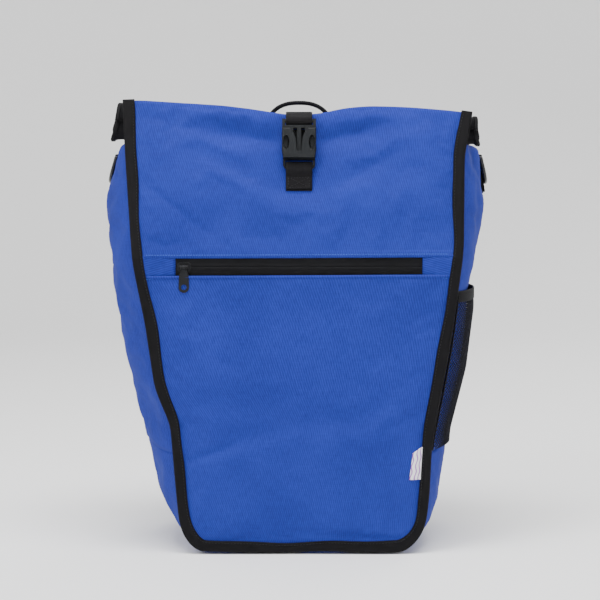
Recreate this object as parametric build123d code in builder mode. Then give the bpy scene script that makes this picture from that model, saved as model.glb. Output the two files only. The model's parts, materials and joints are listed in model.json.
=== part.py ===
from build123d import *

import os
from math import cos, radians, sin, tan

# Roll-top bicycle pannier: a sewn fabric bag with a hard back, two rack hooks and one lower anchor.
# Millimetres. +Z is up, the front panel faces -Y and the rack side faces +Y. The bag stands on its base, and
# the origin is the middle of the bottom of its bounding box.

# ---------------------------------------------------------------- driving dimensions
DEPTH = 150.0  # front plane to back plane
FRONT = -88.1  # y of the front panel's outer face
BACK = FRONT + DEPTH  # y of the back panel's outer face
CLOTH = 1.6  # coated fabric with its lining
TOP = 425.0  # height of the closed top edge
SEAM_LOW = 100.0  # seam between the base panel and the side gussets
BEND = 282.0  # height where the front begins to lean back
LEAN = radians(14.0)  # how far the upper front leans from the vertical
MOUTH = 372.0  # height of the back panel's top edge, where the lid folds
ROOF = radians(7.4)  # rise of the lid from the back edge towards the front
WEB = 25.0  # webbing width
WEB_T = 1.6  # webbing thickness
TAPE = 10.0  # binding tape showing outside the seam line
TAPE_T = 2.5

# Plan sections of the stuffed bag: height, front half-width, widest half-width on the right, back half-width,
# widest half-width on the left, where nothing presses on the gusset.
RIGHT, LEFT = 2, 4
BASE_EDGE = 14.0  # height over which the base turns up into the walls
BASE_STEP = 15.0  # how far the base is set in at the floor
SECTIONS = (
    (0.0, 84.0, 92.0, 86.0, 92.0),
    (BASE_EDGE, 99.0, 116.0, 102.0, 117.0),
    (SEAM_LOW, 111.0, 139.0, 116.0, 144.0),
    (BEND, 146.0, 173.0, 150.0, 182.0),
    (341.0, 149.0, 181.0, 152.0, 184.0),
    (395.0, 150.0, 168.0, 152.0, 168.0),
)

os.makedirs("parts", exist_ok=True)


def front_y(z):
    """y of the front panel's outer face at height z."""
    if z < BASE_EDGE:
        return FRONT + BASE_STEP * (1 - z / BASE_EDGE)
    return FRONT + max(0.0, z - BEND) * tan(LEAN)


def back_y(z):
    """y of the back panel's outer face at height z."""
    return BACK - (BASE_STEP * (1 - z / BASE_EDGE) if z < BASE_EDGE else 0.0)


def half_width(z, column):
    """Half-width at height z: column 1 is the front seam, 3 the back seam, RIGHT and LEFT the widest."""
    for low, high in zip(SECTIONS, SECTIONS[1:]):
        if z <= high[0]:
            share = (z - low[0]) / (high[0] - low[0])
            return low[column] + share * (high[column] - low[column])
    return SECTIONS[-1][column]


def write(piece, name):
    """Labels a finished piece and writes its STEP file."""
    piece.part.label = name
    export_step(piece.part, f"parts/{name}.step")


# Local frames. On the slope: x is X, y runs up the front panel and z stands out of it.
slope = Plane(origin=(0, FRONT, BEND), x_dir=(1, 0, 0), z_dir=(0, -cos(LEAN), sin(LEAN)))
slope_top = (TOP - BEND) / cos(LEAN)
# On the lid: x is X, y runs down to the back edge and z stands up from the lid.
LID_GAP = 0.5
lid_plane = Plane(origin=(0, BACK, MOUTH + LID_GAP), x_dir=(1, 0, 0), z_dir=(0, sin(ROOF), cos(ROOF)))
side = Plane.YZ  # x is Y, y is Z


# ---------------------------------------------------------------- the stuffed bag's form
def bag_form(inset, top_extra):
    """The bag's closed volume, drawn in by inset all round and open-ended above the mouth."""
    with BuildPart() as form:
        for z, front, right, back, left in SECTIONS:
            lift = inset if z == 0 else 0.0
            extra = top_extra if z == SECTIONS[-1][0] else 0.0
            y_low, y_high = front_y(z) + inset, back_y(z) - inset
            f, b, y_mid = front - inset, back - inset, (y_low + y_high) / 2
            with BuildSketch(Plane.XY.offset(z + lift + extra)):
                with BuildLine():
                    Line((-f, y_low), (f, y_low))
                    ThreePointArc((f, y_low), (right - inset, y_mid), (b, y_high))
                    Line((b, y_high), (-b, y_high))
                    ThreePointArc((-b, y_high), (inset - left, y_mid), (-f, y_low))
                make_face()
        loft(ruled=True)
    return form


outer_form = bag_form(0.0, 0.0)
inner_form = bag_form(CLOTH, 6.0)

roof_front_y = front_y(TOP) - 30
roof_front_z = MOUTH + (BACK - roof_front_y) * tan(ROOF)
wall_in = CLOTH / cos(LEAN)

with BuildPart() as side_envelope:
    with BuildSketch(side):
        with BuildLine():
            Polyline(
                (FRONT + CLOTH, BASE_EDGE),
                (FRONT + wall_in + 0.1, BEND),
                (front_y(TOP) + wall_in + 0.1, TOP),
                (front_y(TOP) + wall_in + 0.1, TOP + 1),
                (BACK - CLOTH, TOP + 1),
                (BACK - CLOTH, BASE_EDGE),
                (BACK + 1, BASE_EDGE),
                (BACK + 1, -1),
                (FRONT - 1, -1),
                (FRONT - 1, BASE_EDGE),
                close=True,
            )
        make_face()
    extrude(amount=250, both=True)

with BuildPart() as under_lid:
    with BuildSketch(side):
        with BuildLine():
            Polyline(
                (BACK + 1, MOUTH - tan(ROOF)),
                (roof_front_y, roof_front_z),
                (roof_front_y - 60, roof_front_z + 60 * tan(ROOF)),
                (roof_front_y - 60, SEAM_LOW),
                (BACK + 1, SEAM_LOW),
                close=True,
            )
        make_face()
    extrude(amount=250, both=True)


# ---------------------------------------------------------------- fabric walls
def gusset(direction, name):
    """One side gusset, from the base panel's seam up to the mouth."""
    with BuildPart() as wall:
        add(outer_form.part)
        add(inner_form.part, mode=Mode.SUBTRACT)
        add(side_envelope.part, mode=Mode.INTERSECT)
        add(under_lid.part, mode=Mode.INTERSECT)
        split(bisect_by=Plane.YZ, keep=Keep.TOP if direction > 0 else Keep.BOTTOM)
    write(wall, name)


def base_panel():
    """The base, which turns up both sides as far as the gussets' seams."""
    with BuildPart() as base:
        add(outer_form.part)
        add(inner_form.part, mode=Mode.SUBTRACT)
        add(side_envelope.part, mode=Mode.INTERSECT)
        split(bisect_by=Plane.XY.offset(SEAM_LOW), keep=Keep.BOTTOM)
    write(base, "base_panel")


# Zip: two tapes with a slit between them, sewn into the front.
ZIP_Z = 273.5
ZIP_H = 16.0  # height of tape that shows
ZIP_HALF = 115.0  # half-length of the zip between its end tabs
ZIP_SLIT = 1.0
zip_low, zip_high = ZIP_Z - ZIP_H / 2, ZIP_Z + ZIP_H / 2
front_plane = Plane.XZ.offset(-FRONT)  # x is X, y is Z, z is -Y


def front_panel_lower():
    """The flat front below the zip."""
    seam = half_width(SEAM_LOW, 1)
    top = half_width(zip_low, 1)
    low = half_width(BASE_EDGE, 1)
    with BuildPart() as panel:
        with BuildSketch(front_plane):
            Polygon(
                *((low, BASE_EDGE), (seam, SEAM_LOW), (top, zip_low)),
                *((-top, zip_low), (-seam, SEAM_LOW), (-low, BASE_EDGE)),
                align=None,
            )
        extrude(amount=-CLOTH)
    write(panel, "front_panel_lower")


def front_panel_upper():
    """The leaning front above the zip, up to the closed top edge."""
    foot, mid, top = half_width(BEND, 1), half_width(341.0, 1), half_width(TOP, 1) + 2
    mid_up = (341.0 - BEND) / cos(LEAN)
    with BuildPart() as panel:
        with BuildSketch(slope):
            Polygon(
                *((foot, 0), (mid, mid_up), (top, slope_top)),
                *((-top, slope_top), (-mid, mid_up), (-foot, 0)),
                align=None,
            )
        extrude(amount=-CLOTH)
    write(panel, "front_panel_upper")


def back_panel():
    """The back, with clearance holes for the rail screws."""
    low, seam, top = half_width(BASE_EDGE, 3), half_width(SEAM_LOW, 3), half_width(MOUTH, 3)
    bend = half_width(BEND, 3)
    with BuildPart() as panel:
        with BuildSketch(Plane.XZ.offset(-BACK)):
            Polygon(
                *((low, BASE_EDGE), (seam, SEAM_LOW), (bend, BEND), (top, MOUTH)),
                *((-top, MOUTH), (-bend, BEND), (-seam, SEAM_LOW), (-low, BASE_EDGE)),
                align=None,
            )
            with Locations(*SCREWS):
                Circle(SCREW_R + 0.15, mode=Mode.SUBTRACT)
        extrude(amount=CLOTH)
    write(panel, "back_panel")


# ---------------------------------------------------------------- stiffeners and lining
BOARD_T = 2.2
SCREW_R = 2.0
HOOK_X = 92.0
RAIL_Z = 343.0
ANCHOR_Z = 108.0
SCREWS = (
    *((x * HOOK_X + dx, RAIL_Z + 9) for x in (-1, 1) for dx in (-11, 11)),
    (0, RAIL_Z),
    *((x * 62, ANCHOR_Z) for x in (-1, 1)),
)


def back_board():
    """The hard sheet inside the back panel that the rails are screwed to."""
    with BuildPart() as board:
        with BuildSketch(Plane.XZ.offset(-(BACK - CLOTH - 0.1))):
            Polygon((-98, 42), (98, 42), (136, 300), (136, 364), (-136, 364), (-136, 300), align=None)
            with Locations(*SCREWS):
                Circle(SCREW_R + 0.15, mode=Mode.SUBTRACT)
        extrude(amount=BOARD_T)
        fillet(board.edges().filter_by(Axis.Y).group_by(Axis.Z)[0], 14)
    write(board, "back_board")


def base_board():
    """The hard sheet that keeps the base flat."""
    with BuildPart() as board:
        with Locations((0, (FRONT + BACK) / 2, CLOTH + 0.1)):
            Box(150, 104, BOARD_T, align=(Align.CENTER, Align.CENTER, Align.MIN))
        fillet(board.edges().filter_by(Axis.Z), 12)
    write(board, "base_board")


def pocket_lining():
    """The thin sheet behind the front panel that makes the zipped pocket."""
    with BuildPart() as lining:
        with BuildSketch(Plane.XZ.offset(-(FRONT + 4.6))):
            Polygon((-88, 96), (88, 96), (118, 290), (-118, 290), align=None)
        extrude(amount=-0.8)
    write(lining, "pocket_lining")


# ---------------------------------------------------------------- binding
def binding_outline(grow):
    """Half of the front binding's edge below the bend, as points up the right side, moved out by grow."""
    return (
        (half_width(BASE_EDGE, 1) + grow, BASE_EDGE),
        (half_width(SEAM_LOW, 1) + grow, SEAM_LOW),
        (half_width(BEND, 1) + grow, BEND),
    )


TAPE_IN = -1.5  # the tape laps this far onto the panel
TAPE_FLOOR = 1.2  # the tape's lowest edge
CORNER = 27.0


def binding_front():
    """The tape round the front panel: down both sides and along the bottom, in one length."""
    outer, inner = binding_outline(TAPE), binding_outline(TAPE_IN)
    foot, mid, top = (half_width(z, 1) for z in (BEND, 341.0, TOP))
    mid_up = (341.0 - BEND) / cos(LEAN)
    with BuildPart() as tape:
        with BuildSketch(front_plane.offset(0.05)):
            with BuildLine():
                x = outer[0][0] - 4
                FilletPolyline(
                    *reversed([(-px, pz) for px, pz in outer[1:]]),
                    *((-x, TAPE_FLOOR), (x, TAPE_FLOOR)),
                    *outer[1:],
                    radius=CORNER,
                )
                Line(outer[2], (-outer[2][0], BEND))
            make_face()
            with BuildLine():
                x = inner[0][0] - 4
                FilletPolyline(
                    *reversed([(-px, pz) for px, pz in inner[1:]]),
                    *((-x, TAPE_FLOOR + TAPE + 1.5), (x, TAPE_FLOOR + TAPE + 1.5)),
                    *inner[1:],
                    radius=CORNER - TAPE,
                )
                Line(inner[2], (-inner[2][0], BEND))
            make_face(mode=Mode.SUBTRACT)
        extrude(amount=TAPE_T)
        with BuildSketch(slope.offset(0.05)):
            for sign in (-1, 1):
                Polygon(
                    *((sign * (foot + TAPE), -0.4), (sign * (mid + TAPE), mid_up)),
                    *((sign * (top + TAPE + 4), slope_top), (sign * (top + TAPE_IN + 2), slope_top)),
                    *((sign * (mid + TAPE_IN), mid_up), (sign * (foot + TAPE_IN), -0.4)),
                    align=None,
                )
        extrude(amount=TAPE_T)
    write(tape, "binding_front")


def binding_back():
    """The tape round the back panel."""
    low, seam, bend, top = (half_width(z, 3) for z in (BASE_EDGE, SEAM_LOW, BEND, MOUTH))
    lap = 4.0
    with BuildPart() as tape:
        with BuildSketch(Plane.XZ.offset(-(BACK + 0.05))):
            outline = ((low + TAPE - 6, TAPE_FLOOR), (seam + 7, SEAM_LOW), (bend + 7, BEND), (top + 7, MOUTH))
            with BuildLine():
                FilletPolyline(*((-x, z) for x, z in reversed(outline)), *outline, radius=CORNER - 4)
                Line(outline[-1], (-outline[-1][0], MOUTH))
            make_face()
            inner = ((low - lap - 6, TAPE_FLOOR + TAPE), (seam - lap, SEAM_LOW))
            inner += ((bend - lap, BEND), (top - lap, MOUTH))
            with BuildLine():
                FilletPolyline(*((-x, z) for x, z in reversed(inner)), *inner, radius=CORNER - 12)
                Line(inner[-1], (-inner[-1][0], MOUTH))
            make_face(mode=Mode.SUBTRACT)
        extrude(amount=-TAPE_T)
    write(tape, "binding_back")


# ---------------------------------------------------------------- zip
TAPE_FRONT = 0.3  # the zip tape's face lies this far behind the panel's face
ZIP_T = 0.9


def zip_tapes():
    """Upper and lower tape, each with the coil sewn along its inner edge at the back."""
    half = half_width(ZIP_Z, 1) - 2
    for name, low, high, coil in (
        ("zip_tape_lower", zip_low, ZIP_Z - ZIP_SLIT / 2, -1),
        ("zip_tape_upper", ZIP_Z + ZIP_SLIT / 2, zip_high, 1),
    ):
        edge = ZIP_Z + coil * ZIP_SLIT / 2
        with BuildPart() as tape:
            with BuildSketch(front_plane.offset(-TAPE_FRONT)):
                with Locations((0, (low + high) / 2)):
                    Rectangle(2 * half, high - low)
            extrude(amount=-ZIP_T)
            with BuildSketch(Plane.YZ.offset(-ZIP_HALF)):
                with Locations((FRONT + TAPE_FRONT + ZIP_T + 0.7, edge + coil * 1.3)):
                    Ellipse(0.9, 1.2)
            extrude(amount=2 * ZIP_HALF)
        write(tape, name)


def zip_end_tab(sign, name):
    """The fabric square that covers one end of the zip."""
    inner, outer = ZIP_HALF + 1, half_width(zip_low, 1) - 1.7
    with BuildPart() as tab:
        with BuildSketch(front_plane):
            with Locations((sign * (inner + outer) / 2, ZIP_Z)):
                Rectangle(outer - inner, ZIP_H - 0.2)
        extrude(amount=-TAPE_FRONT)
        with BuildSketch(front_plane):
            with Locations((sign * (inner + outer) / 2, ZIP_Z)):
                Rectangle(outer - inner, ZIP_H - 0.2)
        extrude(amount=0.6)
    write(tab, name)


SLIDER_X = -108.0
SLIDER_L, SLIDER_H = 13.0, 9.0
PULL_AXIS_Y = FRONT - 3.2
PULL_PIN = 0.9


def zip_slider():
    """The slider: a front and a back wing joined by a wedge through the slit, with a bridge for the pull."""
    wing = 1.0
    front_wing, back_wing = FRONT - wing, FRONT + TAPE_FRONT + ZIP_T + 1.9
    with BuildPart() as slider:
        for y in (front_wing, back_wing):
            with BuildSketch(Plane.XZ.offset(-y)):
                with Locations((SLIDER_X, ZIP_Z)):
                    RectangleRounded(SLIDER_L, SLIDER_H, 3)
            extrude(amount=-wing)
        with Locations((SLIDER_X - SLIDER_L / 2 + 2.4, (front_wing + back_wing + wing) / 2, ZIP_Z)):
            Box(2.4, back_wing - front_wing, ZIP_SLIT - 0.4)
        for dx in (-3.4, 3.4):
            with BuildSketch(Plane.YZ.offset(SLIDER_X + dx - 0.6)):
                with Locations((PULL_AXIS_Y, ZIP_Z)):
                    Circle(PULL_PIN + 0.8)
                with Locations(((PULL_AXIS_Y + front_wing) / 2 + 0.3, ZIP_Z)):
                    Rectangle(front_wing - PULL_AXIS_Y + 0.6, 3.4)
            extrude(amount=1.2)
        with BuildSketch(Plane.YZ.offset(SLIDER_X - 3.6)):
            with Locations((PULL_AXIS_Y, ZIP_Z)):
                Circle(PULL_PIN)
        extrude(amount=7.2)
    write(slider, "zip_slider")


def zip_pull():
    """The pull, which hangs from the slider's pin: an eye, a tapered blade and a hole near its end."""
    length, eye = 24.0, 2.1
    with BuildPart() as pull:
        with BuildSketch(Plane.YZ.offset(SLIDER_X - 2.4)):
            with Locations((PULL_AXIS_Y, ZIP_Z)):
                Circle(eye)
        extrude(amount=4.8)
        with BuildSketch(Plane.XZ.offset(-(PULL_AXIS_Y + 0.9))):
            with BuildLine():
                right = ((2.4, ZIP_Z), (2.4, ZIP_Z - 2.8), (4.6, ZIP_Z - 7.5), (5.0, ZIP_Z - length + 5))
                Polyline(*((SLIDER_X + x, z) for x, z in right))
                ThreePointArc(
                    (SLIDER_X + 5.0, ZIP_Z - length + 5),
                    (SLIDER_X, ZIP_Z - length),
                    (SLIDER_X - 5.0, ZIP_Z - length + 5),
                )
                Polyline(*((SLIDER_X - x, z) for x, z in reversed(right)))
                Line((SLIDER_X - 2.4, ZIP_Z), (SLIDER_X + 2.4, ZIP_Z))
            make_face()
            with Locations((SLIDER_X, ZIP_Z - length + 5.2)):
                Circle(2.6, mode=Mode.SUBTRACT)
        extrude(amount=1.8)
        with BuildSketch(Plane.YZ.offset(SLIDER_X - 3)):
            with Locations((PULL_AXIS_Y, ZIP_Z)):
                Circle(PULL_PIN + 0.1)
        extrude(amount=6, mode=Mode.SUBTRACT)
    write(pull, "zip_pull")


def side_label():
    """The small folded label sewn in under the binding."""
    with BuildPart() as label:
        with BuildSketch(front_plane.offset(0.1)):
            high, low = half_width(104.0, 1) + TAPE_IN - 1.4, half_width(74.0, 1) + TAPE_IN - 1.4
            Polygon((high, 104), (high - 11, 98), (low - 10, 73), (low, 74), align=None)
        extrude(amount=0.6)
    write(label, "side_label")


# ---------------------------------------------------------------- lid: folded and rolled mouth
ROLL_T = 20.0
ROLL_LOW = 115.0  # distance up the slope of the roll's lower side
ROLL_GAP = 1.5  # between the front panel's inner face and the roll
ROLL_HALF = 161.0
ROLL_END = 175.0
lid_length = (BACK - front_y(roof_front_z)) / cos(ROOF) - 6.0


def lid_cloth():
    """The fabric that folds forward from the back panel over the mouth."""
    front, middle, back = (half_width(384.0, column) for column in (1, RIGHT, 3))
    with BuildPart() as cloth:
        with BuildSketch(lid_plane):
            with BuildLine():
                Line((-back, 0), (back, 0))
                ThreePointArc((back, 0), (middle, -lid_length / 2), (front - 3, -lid_length))
                Line((front - 3, -lid_length), (-front + 3, -lid_length))
                ThreePointArc((-front + 3, -lid_length), (-middle, -lid_length / 2), (-back, 0))
            make_face()
        extrude(amount=CLOTH)
    write(cloth, "lid_cloth")


def roll_section(grow):
    """The roll's cross-section on the slope's side plane, as centre and size up and across the slope."""
    up, across = slope_top - ROLL_LOW + 2 * grow, ROLL_T + 2 * grow
    centre_up = (slope_top + ROLL_LOW) / 2
    centre_in = -(CLOTH + ROLL_GAP + ROLL_T / 2)
    return up, across, tuple(slope.from_local_coords((0, centre_up, centre_in)))


def rolled_piece(name, spans, grow):
    """Lengths of the rolled mouth, each from one x to another."""
    up, across, (_, y, z) = roll_section(grow)
    with BuildPart() as roll:
        for start, end in spans:
            with BuildSketch(Plane(origin=(start, y, z), x_dir=(0, sin(LEAN), cos(LEAN)), z_dir=(1, 0, 0))):
                RectangleRounded(up, across, 7.0 + grow)
            extrude(amount=end - start)
    write(roll, name)


# ---------------------------------------------------------------- buckle, on the slope's local frame
BUCKLE_LOW, BUCKLE_TOP = 85.0, 123.0
BUCKLE_HALF = 16.2
BUCKLE_BACK, BUCKLE_FRONT = 2.2, 12.6
CAVITY_HALF = 13.4
CAVITY_BACK, CAVITY_FRONT = 3.8, 11.2
BAR_UP = BUCKLE_TOP + 7.5  # the plug half's webbing bar
PLUG_BACK, PLUG_FRONT = 5.6, 9.2
PLUG_MID = (PLUG_BACK + PLUG_FRONT) / 2
PRONG_ROOT = (7.6, BUCKLE_TOP - 2.0)
TAIL_FRONT = 5.6  # the socket is thinner than this round its webbing slot


def buckle_female():
    """The socket half: a housing open at the top, with side windows, a centre slot and a webbing slot."""
    low, top, half = BUCKLE_LOW, BUCKLE_TOP, BUCKLE_HALF
    with BuildPart() as socket:
        with BuildSketch(slope.offset(BUCKLE_BACK)):
            with BuildLine():
                right = ((half - 3, low), (half - 1, low + 3), (half - 1, low + 11))
                right += ((half, low + 16), (half, top))
                Polyline(*right)
                Polyline(*((-x, y) for x, y in right))
                Line((-half + 3, low), (half - 3, low))
                Line((-half, top), (half, top))
            make_face()
        extrude(amount=BUCKLE_FRONT - BUCKLE_BACK)
        fillet(socket.faces().sort_by(Axis(slope.origin, slope.z_dir))[-1].outer_wire().edges(), 1.6)
        with BuildSketch(slope.offset(CAVITY_BACK)):
            with Locations((0, (low + 12 + top + 2) / 2)):
                Rectangle(2 * CAVITY_HALF, top + 2 - low - 12)
        extrude(amount=CAVITY_FRONT - CAVITY_BACK, mode=Mode.SUBTRACT)
        with BuildSketch(slope.offset(CAVITY_BACK)):
            for sign in (-1, 1):
                with Locations((sign * half, low + 25)):
                    Rectangle(8.0, 15.0)
        extrude(amount=CAVITY_FRONT - CAVITY_BACK, mode=Mode.SUBTRACT)
        with BuildSketch(slope.offset(CAVITY_FRONT - 1)):
            for sign in (-1, 1):
                with Locations((sign * 12.2, low + 24)):
                    Ellipse(3.0, 6.6)
            with Locations((0, low + 17.2)):
                Circle(2.4)
            funnel = ((9.6, top + 1), (8.4, top - 1.5), (5.2, top - 5), (3.4, top - 10), (2.4, top - 20.8))
            Polygon(*funnel, *((-x, y) for x, y in reversed(funnel)), align=None)
        extrude(amount=5, mode=Mode.SUBTRACT)
        with BuildSketch(slope):
            with Locations((0, low + 5.8)):
                Rectangle(WEB + 1, 5.0)
        extrude(amount=BUCKLE_FRONT + 1, mode=Mode.SUBTRACT)
        with BuildSketch(slope.offset(TAIL_FRONT)):
            with Locations((0, low)):
                Rectangle(2 * half + 2, 18.0)
        extrude(amount=BUCKLE_FRONT, mode=Mode.SUBTRACT)
    write(socket, "buckle_female")


def buckle_male():
    """The plug half: a ladder for the webbing, a shoulder and a centre guide."""
    with BuildPart() as plug:
        with BuildSketch(slope.offset(PLUG_BACK)):
            with Locations((0, BUCKLE_TOP + 1.8)):
                Rectangle(32.0, 2.8)
            for sign in (-1, 1):
                with Locations((sign * 14.6, BUCKLE_TOP + 5.2)):
                    Rectangle(2.8, 8.4)
            with Locations((0, BUCKLE_TOP - 11.0)):
                Rectangle(4.0, 24)
            for sign in (-1, 1):
                with Locations((sign * PRONG_ROOT[0], PRONG_ROOT[1] + 1.2)):
                    Rectangle(4.6, 3.4)
        extrude(amount=PLUG_FRONT - PLUG_BACK)
        with BuildSketch(Plane.YZ.offset(-13.8)):
            bar = slope.from_local_coords((0, BAR_UP, PLUG_MID))
            with Locations((bar.Y, bar.Z)):
                Circle(1.9)
        extrude(amount=27.6)
    write(plug, "buckle_male")


def buckle_prong(sign, name):
    """One springy side arm, with the thumb pad that fills the socket's window."""
    x, y = PRONG_ROOT
    with BuildPart() as prong:
        with BuildSketch(slope.offset(PLUG_BACK + 0.1)):
            with BuildLine():
                outline = (
                    *((x - 1.5, y - 0.9), (x + 1.5, y - 0.9), (x + 3.6, y - 5)),
                    *((15.4, y - 6.6), (15.6, y - 12), (13.0, y - 17), (11.2, y - 17)),
                    *((10.2, y - 10), (x + 0.6, y - 5)),
                )
                Polyline(*((sign * px, py) for px, py in outline), close=True)
            make_face()
        extrude(amount=PLUG_FRONT - PLUG_BACK - 0.2)
    write(prong, name)


def strap_tab():
    """The webbing that holds the socket: sewn flat below it, looped through its slot and sewn again."""
    with BuildPart() as tab:
        with BuildSketch(side):
            with BuildLine() as run:
                points = ((-21, 1.0), (5.6, 1.0), (5.6, 6.9), (-2, 6.9), (-6, 2.9), (-19, 2.9))
                FilletPolyline(*(local_side(BUCKLE_LOW + up, out) for up, out in points), radius=1.2)
            trace(run.line, line_width=WEB_T)
        extrude(amount=WEB / 2, both=True)
    write(tab, "strap_tab")


def local_side(up, out):
    """A point on the slope's side view, as (Y, Z)."""
    point = slope.from_local_coords((0, up, out))
    return point.Y, point.Z


def closing_strap():
    """The webbing from the lid's back edge, over the roll and down to the plug half's bar."""
    lid_near = lid_plane.from_local_coords((0, -14.0, CLOTH + 1.1))
    hug = 2.9
    back_of_roll = -(CLOTH + ROLL_GAP + ROLL_T + 1.2)
    lid_far = lid_plane.from_local_coords((0, -(lid_length - ROLL_T - 6), CLOTH + 1.1))
    with BuildPart() as strap:
        with BuildSketch(side):
            with BuildLine() as run:
                FilletPolyline(
                    (lid_near.Y, lid_near.Z),
                    (lid_far.Y, lid_far.Z),
                    *(local_side(slope_top + 1.3, back_of_roll), local_side(slope_top + 1.3, 3.4)),
                    *(local_side(BAR_UP + 3.0, PLUG_MID + hug), local_side(BAR_UP - hug, PLUG_MID + hug)),
                    *(local_side(BAR_UP - hug, PLUG_MID - hug), local_side(BAR_UP + 5.0, PLUG_MID - hug)),
                    radius=(6.0, 3.0, 2.6, 1.6, 2.4, 2.4),
                )
            trace(run.line, line_width=WEB_T)
        extrude(amount=WEB / 2, both=True)
    write(strap, "closing_strap")


# ---------------------------------------------------------------- shoulder-strap rings
RING_TOP = 374.0
RING_WIRE = 2.0
RING_HALF = 13.0
TAB_LENGTH = 36.0


def gusset_plane(sign):
    """Tangent frame on a gusset's widest line: x is the way out, y runs up the cloth, z is along the bag."""
    low, high = 345.0, 375.0
    column = RIGHT if sign > 0 else LEFT
    dx = half_width(high, column) - half_width(low, column)
    y_mid = (front_y(360.0) + BACK) / 2
    length = (dx**2 + (high - low) ** 2) ** 0.5
    up = Vector(sign * dx / length, 0, (high - low) / length)
    out = Vector(sign * up.Z, 0, -dx / length)
    origin = (sign * half_width(RING_TOP, column), y_mid, RING_TOP)
    return Plane(origin=origin, x_dir=out, z_dir=out.cross(up))


def shoulder_ring(sign, name):
    """A wire D-ring whose straight bar lies in the tab's loop, stored hanging."""
    plane = gusset_plane(sign)
    centre = 4.2
    across = plane.z_dir
    start = plane.from_local_coords((centre, 0, 0))
    up = plane.y_dir
    corners = [start - across * RING_HALF, start + across * RING_HALF]
    drop = [c - up * 9 for c in corners]
    low = start - up * 24
    with BuildPart() as ring:
        with BuildLine() as wire:
            Line(corners[0], corners[1])
            Line(corners[1], drop[1])
            ThreePointArc(drop[1], low, drop[0])
            Line(drop[0], corners[0])
        with BuildSketch(Plane(origin=start, x_dir=up, z_dir=across)):
            Circle(RING_WIRE)
        sweep(path=wire.wire(), transition=Transition.ROUND)
    write(ring, name)


def ring_tab(sign, name):
    """The webbing tab, sewn to the gusset below and looped round the ring's bar."""
    plane = gusset_plane(sign)
    centre, hug = 4.2, RING_WIRE + 0.3
    with BuildPart() as tab:
        with BuildSketch(plane):
            with Locations((centre, 0)):
                Circle(hug + WEB_T - 0.2)
            with Locations((1.4, -TAB_LENGTH / 2)):
                Rectangle(1.6, TAB_LENGTH)
            with Locations((1.9, -TAB_LENGTH + 5)):
                Rectangle(2.6, 10)
            with Locations((centre, 0)):
                Circle(hug, mode=Mode.SUBTRACT)
        extrude(amount=RING_HALF - RING_WIRE - 0.6, both=True)
    write(tab, name)


# ---------------------------------------------------------------- mesh pocket
POCKET_TOP = 250.0
NET_T = 1.2
NET_GAP = NET_T + 0.4  # how far the net's outer face stands off the gusset where it is sewn
NET_SWELL = 12.0


def pocket_form(inset):
    """The swollen side pocket's volume: the bag's section with its right side pushed out at the top."""
    with BuildPart() as form:
        for z, swell in ((SEAM_LOW + 3, NET_GAP), (POCKET_TOP, NET_SWELL)):
            f, m, b = (half_width(z, column) for column in (1, RIGHT, 3))
            f, m, b = f + NET_GAP - inset, m + swell - inset, b + NET_GAP - inset
            with BuildSketch(Plane.XY.offset(z)):
                with BuildLine():
                    ThreePointArc((f, FRONT), (m, (FRONT + BACK) / 2), (b, BACK))
                    Line((b, BACK), (0, BACK))
                    Line((0, BACK), (0, FRONT))
                    Line((0, FRONT), (f, FRONT))
                make_face()
        loft(ruled=True)
    return form


def mesh_pocket():
    """The net on the right gusset, and the elastic along its mouth."""
    shell_out, shell_in = pocket_form(0.0), pocket_form(NET_T)
    edge = 7.0
    for name, low, high in (
        ("mesh_pocket", SEAM_LOW + 3, POCKET_TOP - 8),
        ("pocket_elastic", POCKET_TOP - 8, POCKET_TOP),
    ):
        with BuildPart() as net:
            add(shell_out.part)
            add(shell_in.part, mode=Mode.SUBTRACT)
            with Locations(((200, (FRONT + BACK) / 2, (low + high) / 2))):
                Box(220, DEPTH - 2 * edge, high - low, mode=Mode.INTERSECT)
        write(net, name)


# ---------------------------------------------------------------- rack hardware
RAIL_FRONT = BACK + 0.3
RAIL_T = 7.0
RAIL_HALF = 128.0
RAIL_H = 36.0
HOOK_W = 32.0
TUBE_R = 8.0
PLATE_T = 3.6
rail_back = RAIL_FRONT + RAIL_T
hook_face = rail_back + PLATE_T
TUBE_Y = hook_face + TUBE_R + 0.6
TUBE_Z = RAIL_Z - 9.0
PIVOT = (rail_back - 1.4, RAIL_Z - 25.5)  # behind the tube's way in and out
PIVOT_R = 1.6
HANDLE_R = 36.4
HANDLE_T = 3.4
HANDLE_W = 16.0
HANDLE_AXIS = (rail_back + 9.5, RAIL_Z + 9.0)
HANDLE_PIN = 2.0


def hook_rail():
    """The extruded rail across the back, with holes for its screws and two lugs for the handle."""
    with BuildPart() as rail:
        with BuildSketch(Plane.YZ.offset(-RAIL_HALF)):
            with Locations((RAIL_FRONT + RAIL_T / 2, RAIL_Z)):
                Rectangle(RAIL_T, RAIL_H)
            with Locations((rail_back, RAIL_Z)):
                Rectangle(3.0, 12.0, mode=Mode.SUBTRACT)
        extrude(amount=2 * RAIL_HALF)
        fillet(rail.edges().filter_by(Axis.Y), 5)
        for x in (-1, 1):
            with BuildSketch(Plane.YZ.offset(x * 30.6 - 1.5)):
                with Locations(HANDLE_AXIS):
                    Circle(6)
                with Locations(((rail_back + HANDLE_AXIS[0]) / 2 - 0.5, HANDLE_AXIS[1])):
                    Rectangle(HANDLE_AXIS[0] - rail_back + 1, 12)
                with Locations(HANDLE_AXIS):
                    Circle(HANDLE_PIN + 0.05, mode=Mode.SUBTRACT)
            extrude(amount=3.0)
        with BuildSketch(Plane.XZ.offset(-(RAIL_FRONT - 1))):
            with Locations(*(s for s in SCREWS if s[1] > ANCHOR_Z)):
                Circle(SCREW_R + 0.15)
        extrude(amount=-(RAIL_T + 2), mode=Mode.SUBTRACT)
    write(rail, "hook_rail")


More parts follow.
